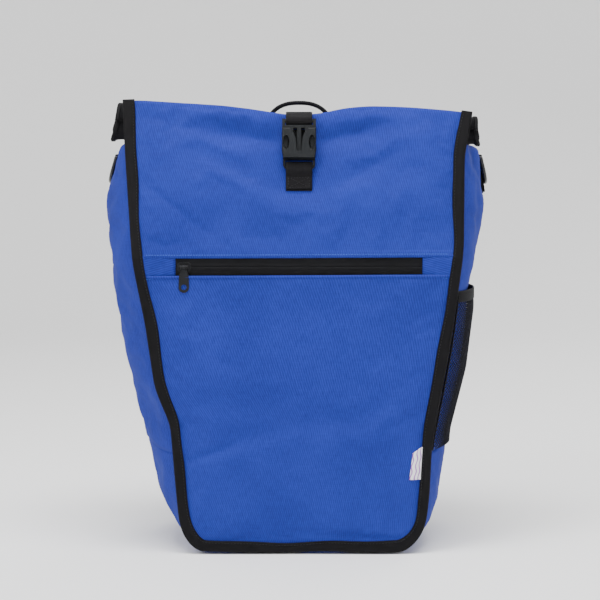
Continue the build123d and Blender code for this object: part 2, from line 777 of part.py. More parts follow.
def rack_hook(sign, name):
    """A hook that drops over the rack's tube: a plate, a round seat over the tube, two lugs for the latch."""
    x0 = sign * HOOK_X
    y0, z0 = TUBE_Y, TUBE_Z
    shell = 4.0
    plate_low, plate_high = PIVOT[1] - 4.0, RAIL_Z + 17.0
    with BuildPart() as hook:
        with BuildSketch(Plane.YZ.offset(x0 - HOOK_W / 2)):
            with Locations(((rail_back + hook_face) / 2, (plate_low + plate_high) / 2)):
                Rectangle(PLATE_T, plate_high - plate_low)
            with Locations((y0, z0)):
                Circle(TUBE_R + shell)
            with Locations((y0 + TUBE_R + shell / 2, z0 - 4.5)):
                Rectangle(shell, 9)
            with Locations(((rail_back + y0) / 2, z0 + 7)):
                Rectangle(y0 - rail_back, 9)
            with Locations((y0, z0 - 15)):
                Rectangle(2 * TUBE_R, 30, mode=Mode.SUBTRACT)
            with Locations((hook_face - PLATE_T / 2, z0 - 5)):
                Rectangle(PLATE_T, 30)
            with Locations((y0, z0)):
                Circle(TUBE_R, mode=Mode.SUBTRACT)
        extrude(amount=HOOK_W)
        with BuildSketch(Plane.YZ.offset(x0 - HOOK_W / 2)):
            with Locations(PIVOT):
                Circle(3.6)
            with Locations(((hook_face + PIVOT[0]) / 2, PIVOT[1])):
                Rectangle(hook_face - PIVOT[0], 7.2)
        extrude(amount=HOOK_W)
        with Locations((x0, PIVOT[0] + 3.0, PIVOT[1] + 0.5)):
            Box(16.8, 14.2, 13.8, mode=Mode.SUBTRACT)
        with BuildSketch(Plane.YZ.offset(x0 - HOOK_W / 2 - 1)):
            with Locations(PIVOT):
                Circle(PIVOT_R)
        extrude(amount=HOOK_W + 2, mode=Mode.SUBTRACT)
        with BuildSketch(Plane.XZ.offset(-(rail_back - 1))):
            with Locations(*(s for s in SCREWS if abs(s[0] - x0) < HOOK_W)):
                Circle(SCREW_R + 0.15)
        extrude(amount=-(PLATE_T + 2), mode=Mode.SUBTRACT)
    write(hook, name)


def hook_latch(sign, name):
    """The sprung finger that closes the hook under the tube and ends in a thumb tab."""
    x0 = sign * HOOK_X
    y0, z0 = PIVOT
    under = TUBE_Z - TUBE_R - 0.6
    with BuildPart() as latch:
        with BuildSketch(Plane.YZ.offset(x0 - 8)):
            with Locations(PIVOT):
                Circle(3.3)
            Polygon(
                *((y0, z0 + 3.3), (y0 + 3, z0 + 3.3), (TUBE_Y - 3, under - 0.4), (TUBE_Y + 5, under - 0.4)),
                *((TUBE_Y + 12, under - 3.2), (TUBE_Y + 12, under - 5.0), (TUBE_Y + 4, under - 4.2)),
                *((TUBE_Y - 3, under - 4.6), (y0 + 4, z0 - 2.2), (y0, z0 - 3.3)),
                align=None,
            )
        extrude(amount=16)
        with BuildSketch(Plane.YZ.offset(x0 - 9)):
            with Locations(PIVOT):
                Circle(PIVOT_R + 0.05)
        extrude(amount=18, mode=Mode.SUBTRACT)
    write(latch, name)


def turned_pin(name, x_from, x_to, centre, radius, head_r=0.0, head_t=0.0, repeat=(0.0,)):
    """Pins along X from one x to another, with a head at each end where head_r is given."""
    with BuildPart() as pin:
        for shift in repeat:
            with BuildSketch(Plane.YZ.offset(x_from + shift)):
                with Locations(centre):
                    Circle(radius)
            extrude(amount=x_to - x_from)
            for x in (x_from, x_to - head_t) if head_r else ():
                with BuildSketch(Plane.YZ.offset(x + shift)):
                    with Locations(centre):
                        Circle(head_r)
                extrude(amount=head_t)
    write(pin, name)


def carry_handle():
    """The stiff webbing loop on two rivets: straight legs and a half-round top, with round ends."""
    y0, z0 = HANDLE_AXIS
    spring = TOP + 7.0 - HANDLE_R
    low = y0 - HANDLE_W / 2
    with BuildPart() as handle:
        with BuildSketch(Plane.XZ.offset(-low)):
            for radius, mode in ((HANDLE_R, Mode.ADD), (HANDLE_R - HANDLE_T, Mode.SUBTRACT)):
                with BuildLine():
                    Line((-radius, z0 - 20), (-radius, spring))
                    ThreePointArc((-radius, spring), (0, spring + radius), (radius, spring))
                    Line((radius, spring), (radius, z0 - 20))
                    Line((radius, z0 - 20), (-radius, z0 - 20))
                make_face(mode=mode)
        extrude(amount=-HANDLE_W)
        with BuildSketch(Plane.YZ.offset(-50)):
            with Locations((y0, z0 + 100)):
                Rectangle(HANDLE_W, 200)
            with Locations(HANDLE_AXIS):
                Circle(HANDLE_W / 2)
            with Locations(HANDLE_AXIS):
                Circle(HANDLE_PIN + 0.05, mode=Mode.SUBTRACT)
        extrude(amount=100, mode=Mode.INTERSECT)
    write(handle, "carry_handle")


def screw_group(name, places, head_y, nut_y, head_r=3.6):
    """Pan-head screws along Y, entered from the rack side, at each (x, z)."""
    with BuildPart() as screws:
        for place in places:
            with BuildSketch(Plane.XZ.offset(-nut_y)):
                with Locations(place):
                    Circle(SCREW_R)
            extrude(amount=-(head_y - nut_y))
            with BuildSketch(Plane.XZ.offset(-head_y)):
                with Locations(place):
                    Circle(head_r)
            extrude(amount=-2.2)
    write(screws, name)


def washer_nuts():
    """Flanged nuts inside the bag, one on each screw."""
    seat = BACK - CLOTH - 0.1 - BOARD_T - 0.05
    with BuildPart() as nuts:
        with BuildSketch(Plane.XZ.offset(-seat)):
            with Locations(*SCREWS):
                Circle(5.5)
                Circle(SCREW_R + 0.05, mode=Mode.SUBTRACT)
        extrude(amount=1.0)
        with BuildSketch(Plane.XZ.offset(-(seat - 1.0))):
            with Locations(*SCREWS):
                RegularPolygon(3.9, 6)
                Circle(SCREW_R + 0.05, mode=Mode.SUBTRACT)
        extrude(amount=2.6)
    write(nuts, "flange_nuts")


# Lower anchor: a slotted rail, a T-nut that slides in it and a hook that swivels on the T-nut's post.
ANCHOR_HALF = 72.0
ANCHOR_T = 7.0
anchor_back = RAIL_FRONT + ANCHOR_T
POST_R = 3.2


def anchor_rail():
    """The short slotted rail near the bottom of the back."""
    with BuildPart() as rail:
        with BuildSketch(Plane.YZ.offset(-ANCHOR_HALF)):
            with Locations((RAIL_FRONT + ANCHOR_T / 2, ANCHOR_Z)):
                Rectangle(ANCHOR_T, 22)
        extrude(amount=2 * ANCHOR_HALF)
        fillet(rail.edges().filter_by(Axis.Y), 5)
        with Locations((0, RAIL_FRONT + 3.2, ANCHOR_Z)):
            Box(104, 3.2, 13.4, mode=Mode.SUBTRACT)
        with Locations((0, anchor_back - 1, ANCHOR_Z)):
            Box(104, 6, 7.0, mode=Mode.SUBTRACT)
        with BuildSketch(Plane.XZ.offset(-(RAIL_FRONT - 1))):
            with Locations(*(s for s in SCREWS if s[1] == ANCHOR_Z)):
                Circle(SCREW_R + 0.15)
        extrude(amount=-(ANCHOR_T + 2), mode=Mode.SUBTRACT)
    write(rail, "anchor_rail")


def anchor_slide():
    """The T-nut with its post and head, which slides along the rail and holds the swivel hook."""
    with BuildPart() as slide:
        with Locations((0, RAIL_FRONT + 3.2, ANCHOR_Z)):
            Box(13.0, 2.8, 13.0)
        with BuildSketch(Plane.XZ.offset(-(RAIL_FRONT + 3.2))):
            with Locations((0, ANCHOR_Z)):
                Circle(POST_R)
        extrude(amount=-(ANCHOR_T - 3.2 + 6.4))
        with BuildSketch(Plane.XZ.offset(-(anchor_back + 5.9))):
            with Locations((0, ANCHOR_Z)):
                Circle(6.5)
        extrude(amount=-2.6)
        fillet(slide.faces().sort_by(Axis.Y)[-1].edges(), 0.8)
    write(slide, "anchor_slide")


def anchor_hook():
    """The swivelling lower hook: a disc, an arm and a finger that goes behind the rack's stay."""
    base_y = anchor_back + 0.4
    with BuildPart() as hook:
        with BuildSketch(Plane.XZ.offset(-base_y)):
            with Locations((0, ANCHOR_Z)):
                Circle(12)
            with Locations((0, ANCHOR_Z - 17)):
                Rectangle(14, 20)
            with Locations((0, ANCHOR_Z)):
                Circle(POST_R + 0.06, mode=Mode.SUBTRACT)
        extrude(amount=-5.2)
        with BuildSketch(Plane.YZ.offset(-7)):
            Polygon(
                *((base_y, ANCHOR_Z - 22), (base_y + 17, ANCHOR_Z - 22), (base_y + 21, ANCHOR_Z - 18)),
                *((base_y + 21, ANCHOR_Z - 2), (base_y + 17.5, ANCHOR_Z - 2), (base_y + 17, ANCHOR_Z - 16)),
                *((base_y + 15, ANCHOR_Z - 18), (base_y + 5.2, ANCHOR_Z - 18), (base_y, ANCHOR_Z - 18)),
                align=None,
            )
        extrude(amount=14)
    write(hook, "anchor_hook")


# ---------------------------------------------------------------- build
for sign, word in ((-1, "left"), (1, "right")):
    gusset(sign, f"gusset_{word}")
    zip_end_tab(sign, f"zip_end_{word}")
    buckle_prong(sign, f"buckle_prong_{word}")
    shoulder_ring(sign, f"shoulder_ring_{word}")
    ring_tab(sign, f"ring_tab_{word}")
    rack_hook(sign, f"rack_hook_{word}")
    hook_latch(sign, f"hook_latch_{word}")
    centre_x = sign * HOOK_X
    turned_pin(f"latch_pin_{word}", centre_x - HOOK_W / 2, centre_x + HOOK_W / 2, PIVOT, PIVOT_R)

base_panel()
front_panel_lower()
front_panel_upper()
back_panel()
back_board()
base_board()
pocket_lining()
binding_front()
binding_back()
zip_tapes()
zip_slider()
zip_pull()
side_label()
lid_cloth()
rolled_piece("rolled_mouth", ((-ROLL_HALF, ROLL_HALF),), 0.0)
rolled_piece("roll_ends", ((-ROLL_END, -ROLL_HALF), (ROLL_HALF, ROLL_END)), -1.0)
buckle_female()
buckle_male()
strap_tab()
closing_strap()
mesh_pocket()
hook_rail()
carry_handle()
turned_pin("handle_rivets", 27.4, 39.4, HANDLE_AXIS, HANDLE_PIN, 3.4, 1.4, repeat=(0.0, -66.8))
screw_group("hook_screws", SCREWS[:4], hook_face + 0.05, BACK - 9.0)
screw_group("rail_screw", SCREWS[4:5], rail_back - 1.5 + 0.05, BACK - 9.0)
screw_group("anchor_screws", SCREWS[5:], anchor_back + 0.05, BACK - 9.0)
washer_nuts()
anchor_rail()
anchor_slide()
anchor_hook()
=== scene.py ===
"""Looks of the roll-top pannier: stuffed sewn cloth, tape, webbing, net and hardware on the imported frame."""
import json
import math

import bpy
import numpy as np
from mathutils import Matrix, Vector, noise


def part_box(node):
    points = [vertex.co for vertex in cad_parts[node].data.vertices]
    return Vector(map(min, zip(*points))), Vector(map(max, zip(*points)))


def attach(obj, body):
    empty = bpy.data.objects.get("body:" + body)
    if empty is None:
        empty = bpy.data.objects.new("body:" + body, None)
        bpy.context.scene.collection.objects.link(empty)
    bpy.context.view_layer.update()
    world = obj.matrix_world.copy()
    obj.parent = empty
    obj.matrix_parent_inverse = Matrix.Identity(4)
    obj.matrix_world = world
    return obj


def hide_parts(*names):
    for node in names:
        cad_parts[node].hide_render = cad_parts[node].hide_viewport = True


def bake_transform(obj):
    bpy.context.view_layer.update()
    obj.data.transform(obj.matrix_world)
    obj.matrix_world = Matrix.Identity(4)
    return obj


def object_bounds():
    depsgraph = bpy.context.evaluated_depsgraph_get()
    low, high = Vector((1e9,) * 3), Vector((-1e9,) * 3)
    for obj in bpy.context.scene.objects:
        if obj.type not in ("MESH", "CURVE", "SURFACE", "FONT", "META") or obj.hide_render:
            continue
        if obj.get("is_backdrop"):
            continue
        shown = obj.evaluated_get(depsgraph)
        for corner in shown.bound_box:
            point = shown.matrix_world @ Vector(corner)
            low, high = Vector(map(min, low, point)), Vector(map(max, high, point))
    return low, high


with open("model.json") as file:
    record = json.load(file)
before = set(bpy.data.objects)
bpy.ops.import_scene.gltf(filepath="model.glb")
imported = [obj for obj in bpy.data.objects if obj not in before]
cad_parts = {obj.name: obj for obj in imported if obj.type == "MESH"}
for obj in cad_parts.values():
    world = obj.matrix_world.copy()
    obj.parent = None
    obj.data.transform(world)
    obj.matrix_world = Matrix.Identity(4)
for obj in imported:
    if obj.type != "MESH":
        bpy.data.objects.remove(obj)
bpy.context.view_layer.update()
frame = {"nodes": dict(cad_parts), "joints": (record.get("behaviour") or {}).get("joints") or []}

MM = 0.001
CLOTH_T = 0.9  # thickness of the oxford cloth
SIDES = ((-1, "left"), (1, "right"))


def box_mm(node):
    """A CAD node's low and high corners in millimetres."""
    low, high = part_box(node)
    return np.array(low) * 1000, np.array(high) * 1000


# ---- positions read from the frame
FRONT = box_mm("front_panel_lower")[0][1]
BACK = box_mm("back_panel")[1][1]
TOP = box_mm("front_panel_upper")[1][2]
BEND = box_mm("front_panel_upper")[0][2] + 0.4
MOUTH = box_mm("back_panel")[1][2]
ZIP_LOW = box_mm("zip_tape_lower")[0][2]
ZIP_HIGH = box_mm("zip_tape_upper")[1][2]
ZIP_Z = (ZIP_LOW + ZIP_HIGH) / 2
LEAN = math.radians(14.0)
ROOF = math.atan2(box_mm("lid_cloth")[1][2] - MOUTH - 2.1, BACK - box_mm("lid_cloth")[0][1])
UP = np.array([0.0, math.sin(LEAN), math.cos(LEAN)])
OUT = np.array([0.0, -math.cos(LEAN), math.sin(LEAN)])
AHEAD = np.array([0.0, -1.0, 0.0])


def slope(x, up, out):
    """A point on the leaning upper front: x across, up along it from the bend, out of it."""
    return np.array([x, FRONT, BEND]) + UP * up + OUT * out


def front_y(z):
    """How far back the front's plane stands at height z."""
    return FRONT + np.maximum(0.0, z - BEND) * math.tan(LEAN)


def front_normal(z, reach=6.0):
    """The front's outward normal at height z, which turns over a short reach above the bend."""
    part = min(max((z - BEND) / reach, 0.0), 1.0)
    return AHEAD * (1 - part) + OUT * part


# ---- material kit
def nodes_of(name):
    """A new material, its shader, and helpers that add a node and link a socket to an input by name."""
    mat = bpy.data.materials.new(name)
    mat.use_nodes = True
    tree = mat.node_tree
    shader = tree.nodes["Principled BSDF"]

    def add(kind, *links, **values):
        node = tree.nodes.new(kind)
        for key, value in values.items():
            if key in node.inputs:
                node.inputs[key].default_value = value
            else:
                setattr(node, key, value)
        for index, source in links:
            tree.links.new(source, node.inputs[index])
        return node

    def join(name, source, node=shader):
        tree.links.new(source, node.inputs[name])

    return mat, shader, add, join


def calc(add, operation, a, b=None, c=None):
    """A sum or function of sockets and numbers."""
    node = add("ShaderNodeMath", operation=operation)
    for index, value in enumerate((a, b, c)):
        if value is None:
            continue
        if isinstance(value, (int, float)):
            node.inputs[index].default_value = value
        else:
            node.id_data.links.new(value, node.inputs[index])
    return node.outputs[0]


def ramp(add, source, low, high, a, b):
    """Colour that runs from a to b as source runs from low to high."""
    node = add("ShaderNodeValToRGB", (0, source))
    node.color_ramp.elements[0].position, node.color_ramp.elements[1].position = low, high
    node.color_ramp.elements[0].color, node.color_ramp.elements[1].color = (*a, 1), (*b, 1)
    return node.outputs[0]


def set_shader(shader, rough, spec=0.5, sheen=0.0, sheen_rough=0.4, metal=0.0, coat=0.0):
    """The plain values of a Principled shader."""
    names = ("Roughness", "Specular IOR Level", "Sheen Weight", "Sheen Roughness", "Metallic", "Coat Weight")
    for name, value in zip(names, (rough, spec, sheen, sheen_rough, metal, coat)):
        shader.inputs[name].default_value = value


def yarn_waves(add, pitch_u, pitch_v):
    """Crossed yarns from the UV map, whose unit is a metre: returns height, u and v."""
    uv = add("ShaderNodeUVMap", uv_map="UVMap")
    split = add("ShaderNodeSeparateXYZ", (0, uv.outputs[0]))
    u, v = split.outputs[0], split.outputs[1]
    wave_u = calc(add, "SINE", calc(add, "MULTIPLY", u, 2 * math.pi / pitch_u))
    wave_v = calc(add, "SINE", calc(add, "MULTIPLY", v, 2 * math.pi / pitch_v))
    return calc(add, "MULTIPLY", wave_u, wave_v), u, v


def streaks(add, su, sv, detail=3.0, turn=0.0):
    """Noise drawn out along one yarn direction, for uneven yarn."""
    uv = add("ShaderNodeUVMap", uv_map="UVMap")
    mapping = add("ShaderNodeMapping", (0, uv.outputs[0]), Scale=(su, sv, 1.0), Rotation=(0, 0, turn))
    return add("ShaderNodeTexNoise", (0, mapping.outputs[0]), Scale=1.0, Detail=detail).outputs[0]


def bump(add, height, strength, distance):
    """A bump node over a height."""
    return add("ShaderNodeBump", (2, height), Strength=strength, Distance=distance)


def spread(add, source, low, high):
    """Runs from low to high as source runs from 0.3 to 0.7."""
    node = add("ShaderNodeMapRange", (0, source))
    for index, value in enumerate((0.3, 0.7, low, high)):
        node.inputs[index + 1].default_value = value
    return node.outputs[0]


def cloth_material(name, light, dark, pitch=0.0013, rough=0.62, weave_bump=0.00012, spec=0.35, sheen=0.25):
    """Coated oxford cloth: crossed yarns with slubs, faint mottling and fine creasing."""
    mat, shader, add, join = nodes_of(name)
    set_shader(shader, rough, spec, sheen)
    shader.inputs["Sheen Tint"].default_value = (*[min(1.0, c * 1.5 + 0.1) for c in light], 1)
    height, u, v = yarn_waves(add, pitch, pitch)
    warp, weft = streaks(add, 150, 820, 1.5, turn=0.22), streaks(add, 900, 60, 1.5)
    slub = calc(add, "MULTIPLY_ADD", warp, 0.72, calc(add, "MULTIPLY", weft, 0.28))
    place = add("ShaderNodeTexCoord")
    cloud = add("ShaderNodeTexNoise", (0, place.outputs["Object"]), Scale=16.0, Detail=4.0)
    mottle = calc(add, "MULTIPLY", cloud.outputs[0], 0.34)
    tone = calc(add, "MULTIPLY_ADD", slub, 0.66, mottle)
    twill = 2 * math.pi / 0.0021
    slant = calc(add, "MULTIPLY_ADD", v, twill, calc(add, "MULTIPLY", u, 0.28 * twill))
    dashes = calc(add, "MULTIPLY", calc(add, "SINE", slant), streaks(add, 420, 300, 1.0))
    tone = calc(add, "MULTIPLY_ADD", dashes, 0.24, calc(add, "MULTIPLY_ADD", height, 0.03, tone))
    join("Base Color", ramp(add, tone, 0.30, 0.70, dark, light))
    crease = add("ShaderNodeTexNoise", (0, place.outputs["Object"]), Scale=60.0, Detail=5.0)
    soft = bump(add, crease.outputs[0], 0.4, 0.0003)
    weave = bump(add, height, 0.45, weave_bump)
    join("Normal", soft.outputs[0], weave)
    join("Normal", weave.outputs[0])
    join("Roughness", spread(add, slub, rough - 0.06, rough + 0.08))
    return mat


def webbing_material(name, light, dark, rib=0.0011, along=0.0016, rough=0.6, bump_by=0.0003):
    """Ribbed narrow fabric: ribs run along u, with the crossing yarns showing between them."""
    mat, shader, add, join = nodes_of(name)
    set_shader(shader, rough, 0.10, 0.015)
    height, u, v = yarn_waves(add, along, rib * 2)
    ribs = calc(add, "ABSOLUTE", calc(add, "SINE", calc(add, "MULTIPLY", u, math.pi / rib)))
    total = calc(add, "MULTIPLY_ADD", height, 0.35, ribs)
    wear = streaks(add, 90, 500)
    tone = calc(add, "MULTIPLY_ADD", ribs, 0.35, calc(add, "MULTIPLY", wear, 0.8))
    join("Base Color", ramp(add, tone, 0.35, 0.85, dark, light))
    join("Normal", bump(add, total, 0.6, bump_by).outputs[0])
    return mat


def solid_material(name, light, dark, rough, metal=0.0, spec=0.5, coat=0.0):
    """Moulded plastic or metal: fine surface grain, uneven gloss, and a painted highlight that lightens the
    colour along sharp edges.
    """
    mat, shader, add, join = nodes_of(name)
    set_shader(shader, rough, spec, 0.0, 0.4, metal, coat)
    place = add("ShaderNodeTexCoord")
    grain = add("ShaderNodeTexNoise", (0, place.outputs["Object"]), Scale=1200.0, Detail=4.0)
    blotch = add("ShaderNodeTexNoise", (0, place.outputs["Object"]), Scale=37.5)
    geometry = add("ShaderNodeNewGeometry")
    # painted highlight: the colour is lightened where the surface is sharply convex (high pointiness), to
    # stand in for light catching the edges
    edge = calc(add, "MULTIPLY", calc(add, "SUBTRACT", geometry.outputs["Pointiness"], 0.52), 6.0)
    edge = calc(add, "MULTIPLY", calc(add, "MAXIMUM", edge, 0.0), 0.48)
    tone = calc(add, "ADD", calc(add, "MULTIPLY", blotch.outputs[0], 0.8), edge)
    join("Base Color", ramp(add, tone, 0.25, 0.75, dark, light))
    join("Roughness", spread(add, blotch.outputs[0], rough - 0.07, rough + 0.07))
    join("Normal", bump(add, grain.outputs[0], 0.4, 0.00008).outputs[0])
    return mat


BLUE = cloth_material(
    "blue_oxford", (0.0200, 0.0385, 0.310), (0.0084, 0.0178, 0.174), rough=0.78, spec=0.14, sheen=0.03
)
LINING = cloth_material("grey_coating", (0.30, 0.32, 0.36), (0.20, 0.22, 0.26), rough=0.5)
TAPE = webbing_material("binding_tape", (0.0065, 0.006, 0.007), (0.002, 0.002, 0.0023), rib=0.0009)
WEB = webbing_material(
    "black_webbing", (0.0085, 0.008, 0.0095), (0.003, 0.0027, 0.0033), rib=0.0016, bump_by=0.0005
)
ZIPCLOTH = webbing_material(
    "zip_cloth", (0.0065, 0.0065, 0.008), (0.0025, 0.0025, 0.003), rib=0.0008, rough=0.5
)
NET = webbing_material("net_yarn", (0.020, 0.020, 0.026), (0.008, 0.008, 0.010), rib=0.0006)
BLACK_CLOTH = cloth_material(
    "black_oxford", (0.010, 0.0095, 0.011), (0.004, 0.004, 0.0045), rough=0.75, spec=0.1, sheen=0.01
)
BLUE_THREAD = webbing_material("blue_thread", (0.045, 0.13, 0.56), (0.022, 0.075, 0.36), rib=0.0004)
BLACK_THREAD = webbing_material("black_thread", (0.026, 0.025, 0.028), (0.012, 0.012, 0.013), rib=0.0004)
BUCKLE = solid_material("buckle_plastic", (0.011, 0.0125, 0.014), (0.005, 0.0055, 0.006), 0.46, spec=0.16)
PLASTIC = solid_material("black_nylon", (0.011, 0.011, 0.012), (0.005, 0.005, 0.0055), 0.5, spec=0.18)
BOARD = solid_material("board_plastic", (0.16, 0.16, 0.17), (0.10, 0.10, 0.11), 0.55)
STEEL = solid_material("zinc_steel", (0.62, 0.61, 0.59), (0.46, 0.46, 0.46), 0.32, metal=1.0)
DARK_METAL = solid_material("black_metal", (0.010, 0.0105, 0.012), (0.004, 0.004, 0.005), 0.44, spec=0.14)
RING_METAL = solid_material(
    "ring_metal", (0.022, 0.022, 0.025), (0.008, 0.008, 0.009), 0.26, metal=0.6, coat=0.4
)


# ---- mesh kit
def place_object(name, data):
    """A new object in the scene."""
    obj = bpy.data.objects.new(name, data)
    bpy.context.scene.collection.objects.link(obj)
    return obj


def make_object(name, mesh, body, material, smooth=True):
    """A mesh as an object with a material and a slot, riding on a body if one is given."""
    obj = place_object(name, mesh)
    obj.data.materials.append(material)
    if smooth:
        obj.data.polygons.foreach_set("use_smooth", [True] * len(obj.data.polygons))
    if body:
        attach(obj, body)
    return obj


def lengths(path):
    """Length along a polyline at each of its points."""
    return np.concatenate([[0], np.cumsum(np.linalg.norm(np.diff(path, axis=0), axis=1))])


def mesh_from(name, verts, faces, uv=None, flat=None):
    """A mesh in metres with a UV map: uv for each corner, or flat(corner positions)."""
    mesh = bpy.data.meshes.new(name)
    mesh.from_pydata(verts, [], faces)
    if flat:
        uv = flat(np.array([mesh.vertices[loop.vertex_index].co[:] for loop in mesh.loops]))
    mesh.uv_layers.new(name="UVMap").data.foreach_set("uv", np.array(uv, np.float32).ravel())
    return mesh


def grid(name, points, body, material, wrap=False, caps=False, flip=False, thick=0.0):
    """A quad grid from points[i, j] in millimetres, with a UV map in metres; wrap closes it along j."""
    points = np.asarray(points, float)
    ni, nj = points.shape[:2]
    verts = (points.reshape(-1, 3) * MM).tolist()
    along = lengths(points.mean(1)) * MM
    middle = points[ni // 2]
    ring = np.vstack([middle, middle[:1]]) if wrap else middle
    across = lengths(ring) * MM
    faces, uvs = [], []
    for i in range(ni - 1):
        for j in range(nj if wrap else nj - 1):
            k = (j + 1) % nj
            quad = [i * nj + j, i * nj + k, (i + 1) * nj + k, (i + 1) * nj + j]
            low, high = along[i], along[i + 1]
            uv = [(low, across[j]), (low, across[j + 1]), (high, across[j + 1]), (high, across[j])]
            faces.append(quad[::-1] if flip else quad)
            uvs.extend(uv[::-1] if flip else uv)
    if caps and wrap:
        for i, turn in ((0, True), (ni - 1, False)):
            face = [i * nj + j for j in range(nj)]
            face = face if turn == flip else face[::-1]
            faces.append(face)
            uvs.extend([(along[i], across[v % nj]) for v in (f - i * nj for f in face)])
    mesh = mesh_from(name, verts, faces, uvs)
    mesh.validate()
    obj = make_object(name, mesh, None, material)
    if thick:
        obj.modifiers.new("thick", "SOLIDIFY").thickness = thick * MM
    if body:
        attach(obj, body)
    return obj


def resample(path, step):
    """Points spaced about step along a polyline."""
    path = np.asarray(path, float)
    s = lengths(path)
    n = max(4, int(round(s[-1] / step)))
    t = np.linspace(0, s[-1], n + 1)
    return np.stack([np.interp(t, s, path[:, k]) for k in range(path.shape[1])], 1)


def gauss(step, sigma):
    """A Gaussian kernel over samples step apart, and its half width in samples."""
    w = int(3 * sigma / step) + 1
    kernel = np.exp(-0.5 * (np.arange(-w, w + 1) * step / sigma) ** 2)
    return kernel / kernel.sum(), w


def smooth_path(path, step=1.0, sigma=3.0):
    """A resampled polyline with its corners rounded by a Gaussian of sigma millimetres; the ends stay put."""
    pts = resample(path, step)
    kernel, w = gauss(step, sigma)
    head = 2 * pts[0] - pts[1 : w + 1][::-1]
    tail = 2 * pts[-1] - pts[-w - 1 : -1][::-1]
    padded = np.vstack([head, pts, tail])
    return np.stack([np.convolve(padded[:, k], kernel, "valid") for k in range(pts.shape[1])], 1)


def table(points, sigma=5.0):
    """A smooth function through (position, value) points."""
    points = np.array(sorted(points), float)
    grid_z = np.arange(points[0, 0] - 40, points[-1, 0] + 40, 0.5)
    values = np.interp(grid_z, points[:, 0], points[:, 1])
    w = int(3 * sigma / 0.5)
    kernel = np.exp(-0.5 * (np.arange(-w, w + 1) * 0.5 / sigma) ** 2)
    padded = np.pad(values, w, mode="edge")
    values = np.convolve(padded, kernel / kernel.sum(), "valid")
    return lambda z: np.interp(z, grid_z, values)


def fbm(points, scale, amount, seed=0.0, octaves=3):
    """Smooth repeatable noise at points in millimetres."""
    out = np.empty(len(points))
    for n, p in enumerate(points):
        v, a, f = 0.0, 1.0, 1.0 / scale
        for _ in range(octaves):
            v += a * noise.noise(Vector((p[0] * f + seed, p[1] * f - seed, p[2] * f + 2 * seed)))
            a *= 0.5
            f *= 2.03
        out[n] = v
    return out * amount


def settle(obj, pins, slack=0.006, pressure=2.0, cap=5.0, frames=18):
    """Relaxes an open panel as cloth: pins is 1 where it is held, and cap limits each point's move in mm."""
    scene = bpy.context.scene
    mesh = obj.data
    rest = np.empty(len(mesh.vertices) * 3, np.float32)
    mesh.vertices.foreach_get("co", rest)
    rest = rest.reshape(-1, 3)
    group = obj.vertex_groups.new(name="pins")
    for index, weight in enumerate(np.asarray(pins).ravel()):
        group.add([index], float(weight), "REPLACE")
    mod = obj.modifiers.new("cloth", "CLOTH")
    cloth = mod.settings
    cloth.quality, cloth.mass = 6, 0.2
    cloth.tension_stiffness = cloth.compression_stiffness = 18
    cloth.shear_stiffness, cloth.bending_stiffness = 9, 0.35
    cloth.tension_damping = cloth.compression_damping = 8
    cloth.air_damping = 2.0
    cloth.vertex_group_mass = "pins"
    cloth.pin_stiffness = 1.0
    cloth.use_pressure, cloth.uniform_pressure_force = True, pressure
    cloth.shrink_min = cloth.shrink_max = -slack
    cloth.effector_weights.gravity = 0
    mod.collision_settings.use_collision = False
    mod.point_cache.frame_start, mod.point_cache.frame_end = 1, frames
    for frame_number in range(1, frames + 1):
        scene.frame_set(frame_number)
    shape = obj.evaluated_get(bpy.context.evaluated_depsgraph_get()).to_mesh()
    moved = np.empty(len(shape.vertices) * 3, np.float32)
    shape.vertices.foreach_get("co", moved)
    move = moved.reshape(-1, 3) - rest
    size = np.linalg.norm(move, axis=1, keepdims=True)
    limit = cap * MM
    move *= limit * np.tanh(size / limit) / np.maximum(size, 1e-9)
    obj.modifiers.remove(mod)
    obj.vertex_groups.clear()
    scene.frame_set(1)
    mesh.vertices.foreach_set("co", (rest + move).astype(np.float32).ravel())
    mesh.update()


def thicken(obj, body):
    """Gives a cloth panel its thickness and lets it move with a CAD body."""
    obj.modifiers.new("thick", "SOLIDIFY").thickness = CLOTH_T * MM
    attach(obj, body)


def border(ni, nj, rows=2, columns=2, soft=2):
    """Pin weights of a grid: 1 on its border, falling to 0 over a few more points."""
    i = np.minimum(np.arange(ni), np.arange(ni)[::-1])[:, None]
    j = np.minimum(np.arange(nj), np.arange(nj)[::-1])[None, :]
    return np.maximum(np.clip(1 - (i - rows) / soft, 0, 1), np.clip(1 - (j - columns) / soft, 0, 1))


def band(name, path, side, body, material, width=25.0, thick=1.6):
    """Webbing or tape along a path: side[i] is its width direction, and it has rounded edges."""
    path = np.asarray(path, float)
    tangent = np.gradient(path, axis=0)
    tangent /= np.linalg.norm(tangent, axis=1, keepdims=True)
    side = np.broadcast_to(np.asarray(side, float), path.shape).copy()
    side -= tangent * (side * tangent).sum(1, keepdims=True)
    side /= np.linalg.norm(side, axis=1, keepdims=True)
    lift = np.cross(tangent, side)
    half, t = width / 2, thick / 2
    edge = 0.9 * t
    bend = np.radians(np.linspace(-90, 90, 5))
    across = np.linspace(half - t, -half + t, max(6, int(width / 3)))[1:-1]
    section = [(half - edge + edge * math.cos(a), t * math.sin(a)) for a in bend]
    section += [(c, t) for c in across]
    section += [(-half + edge + edge * math.cos(a), t * math.sin(a)) for a in bend + math.pi]
    section += [(-c, -t) for c in across]
    section = np.array(section)
    points = path[:, None] + side[:, None] * section[None, :, :1] + lift[:, None] * section[None, :, 1:]
    return grid(name, points, body, material, wrap=True, caps=True)


# A stitch's rings: place along it, share of its radius, height over the cloth.
STITCH = ((0, 0.35, -0.20), (0.2, 1.0, 0.10), (0.5, 1.1, 0.2), (0.8, 1.0, 0.10), (1, 0.35, -0.20))


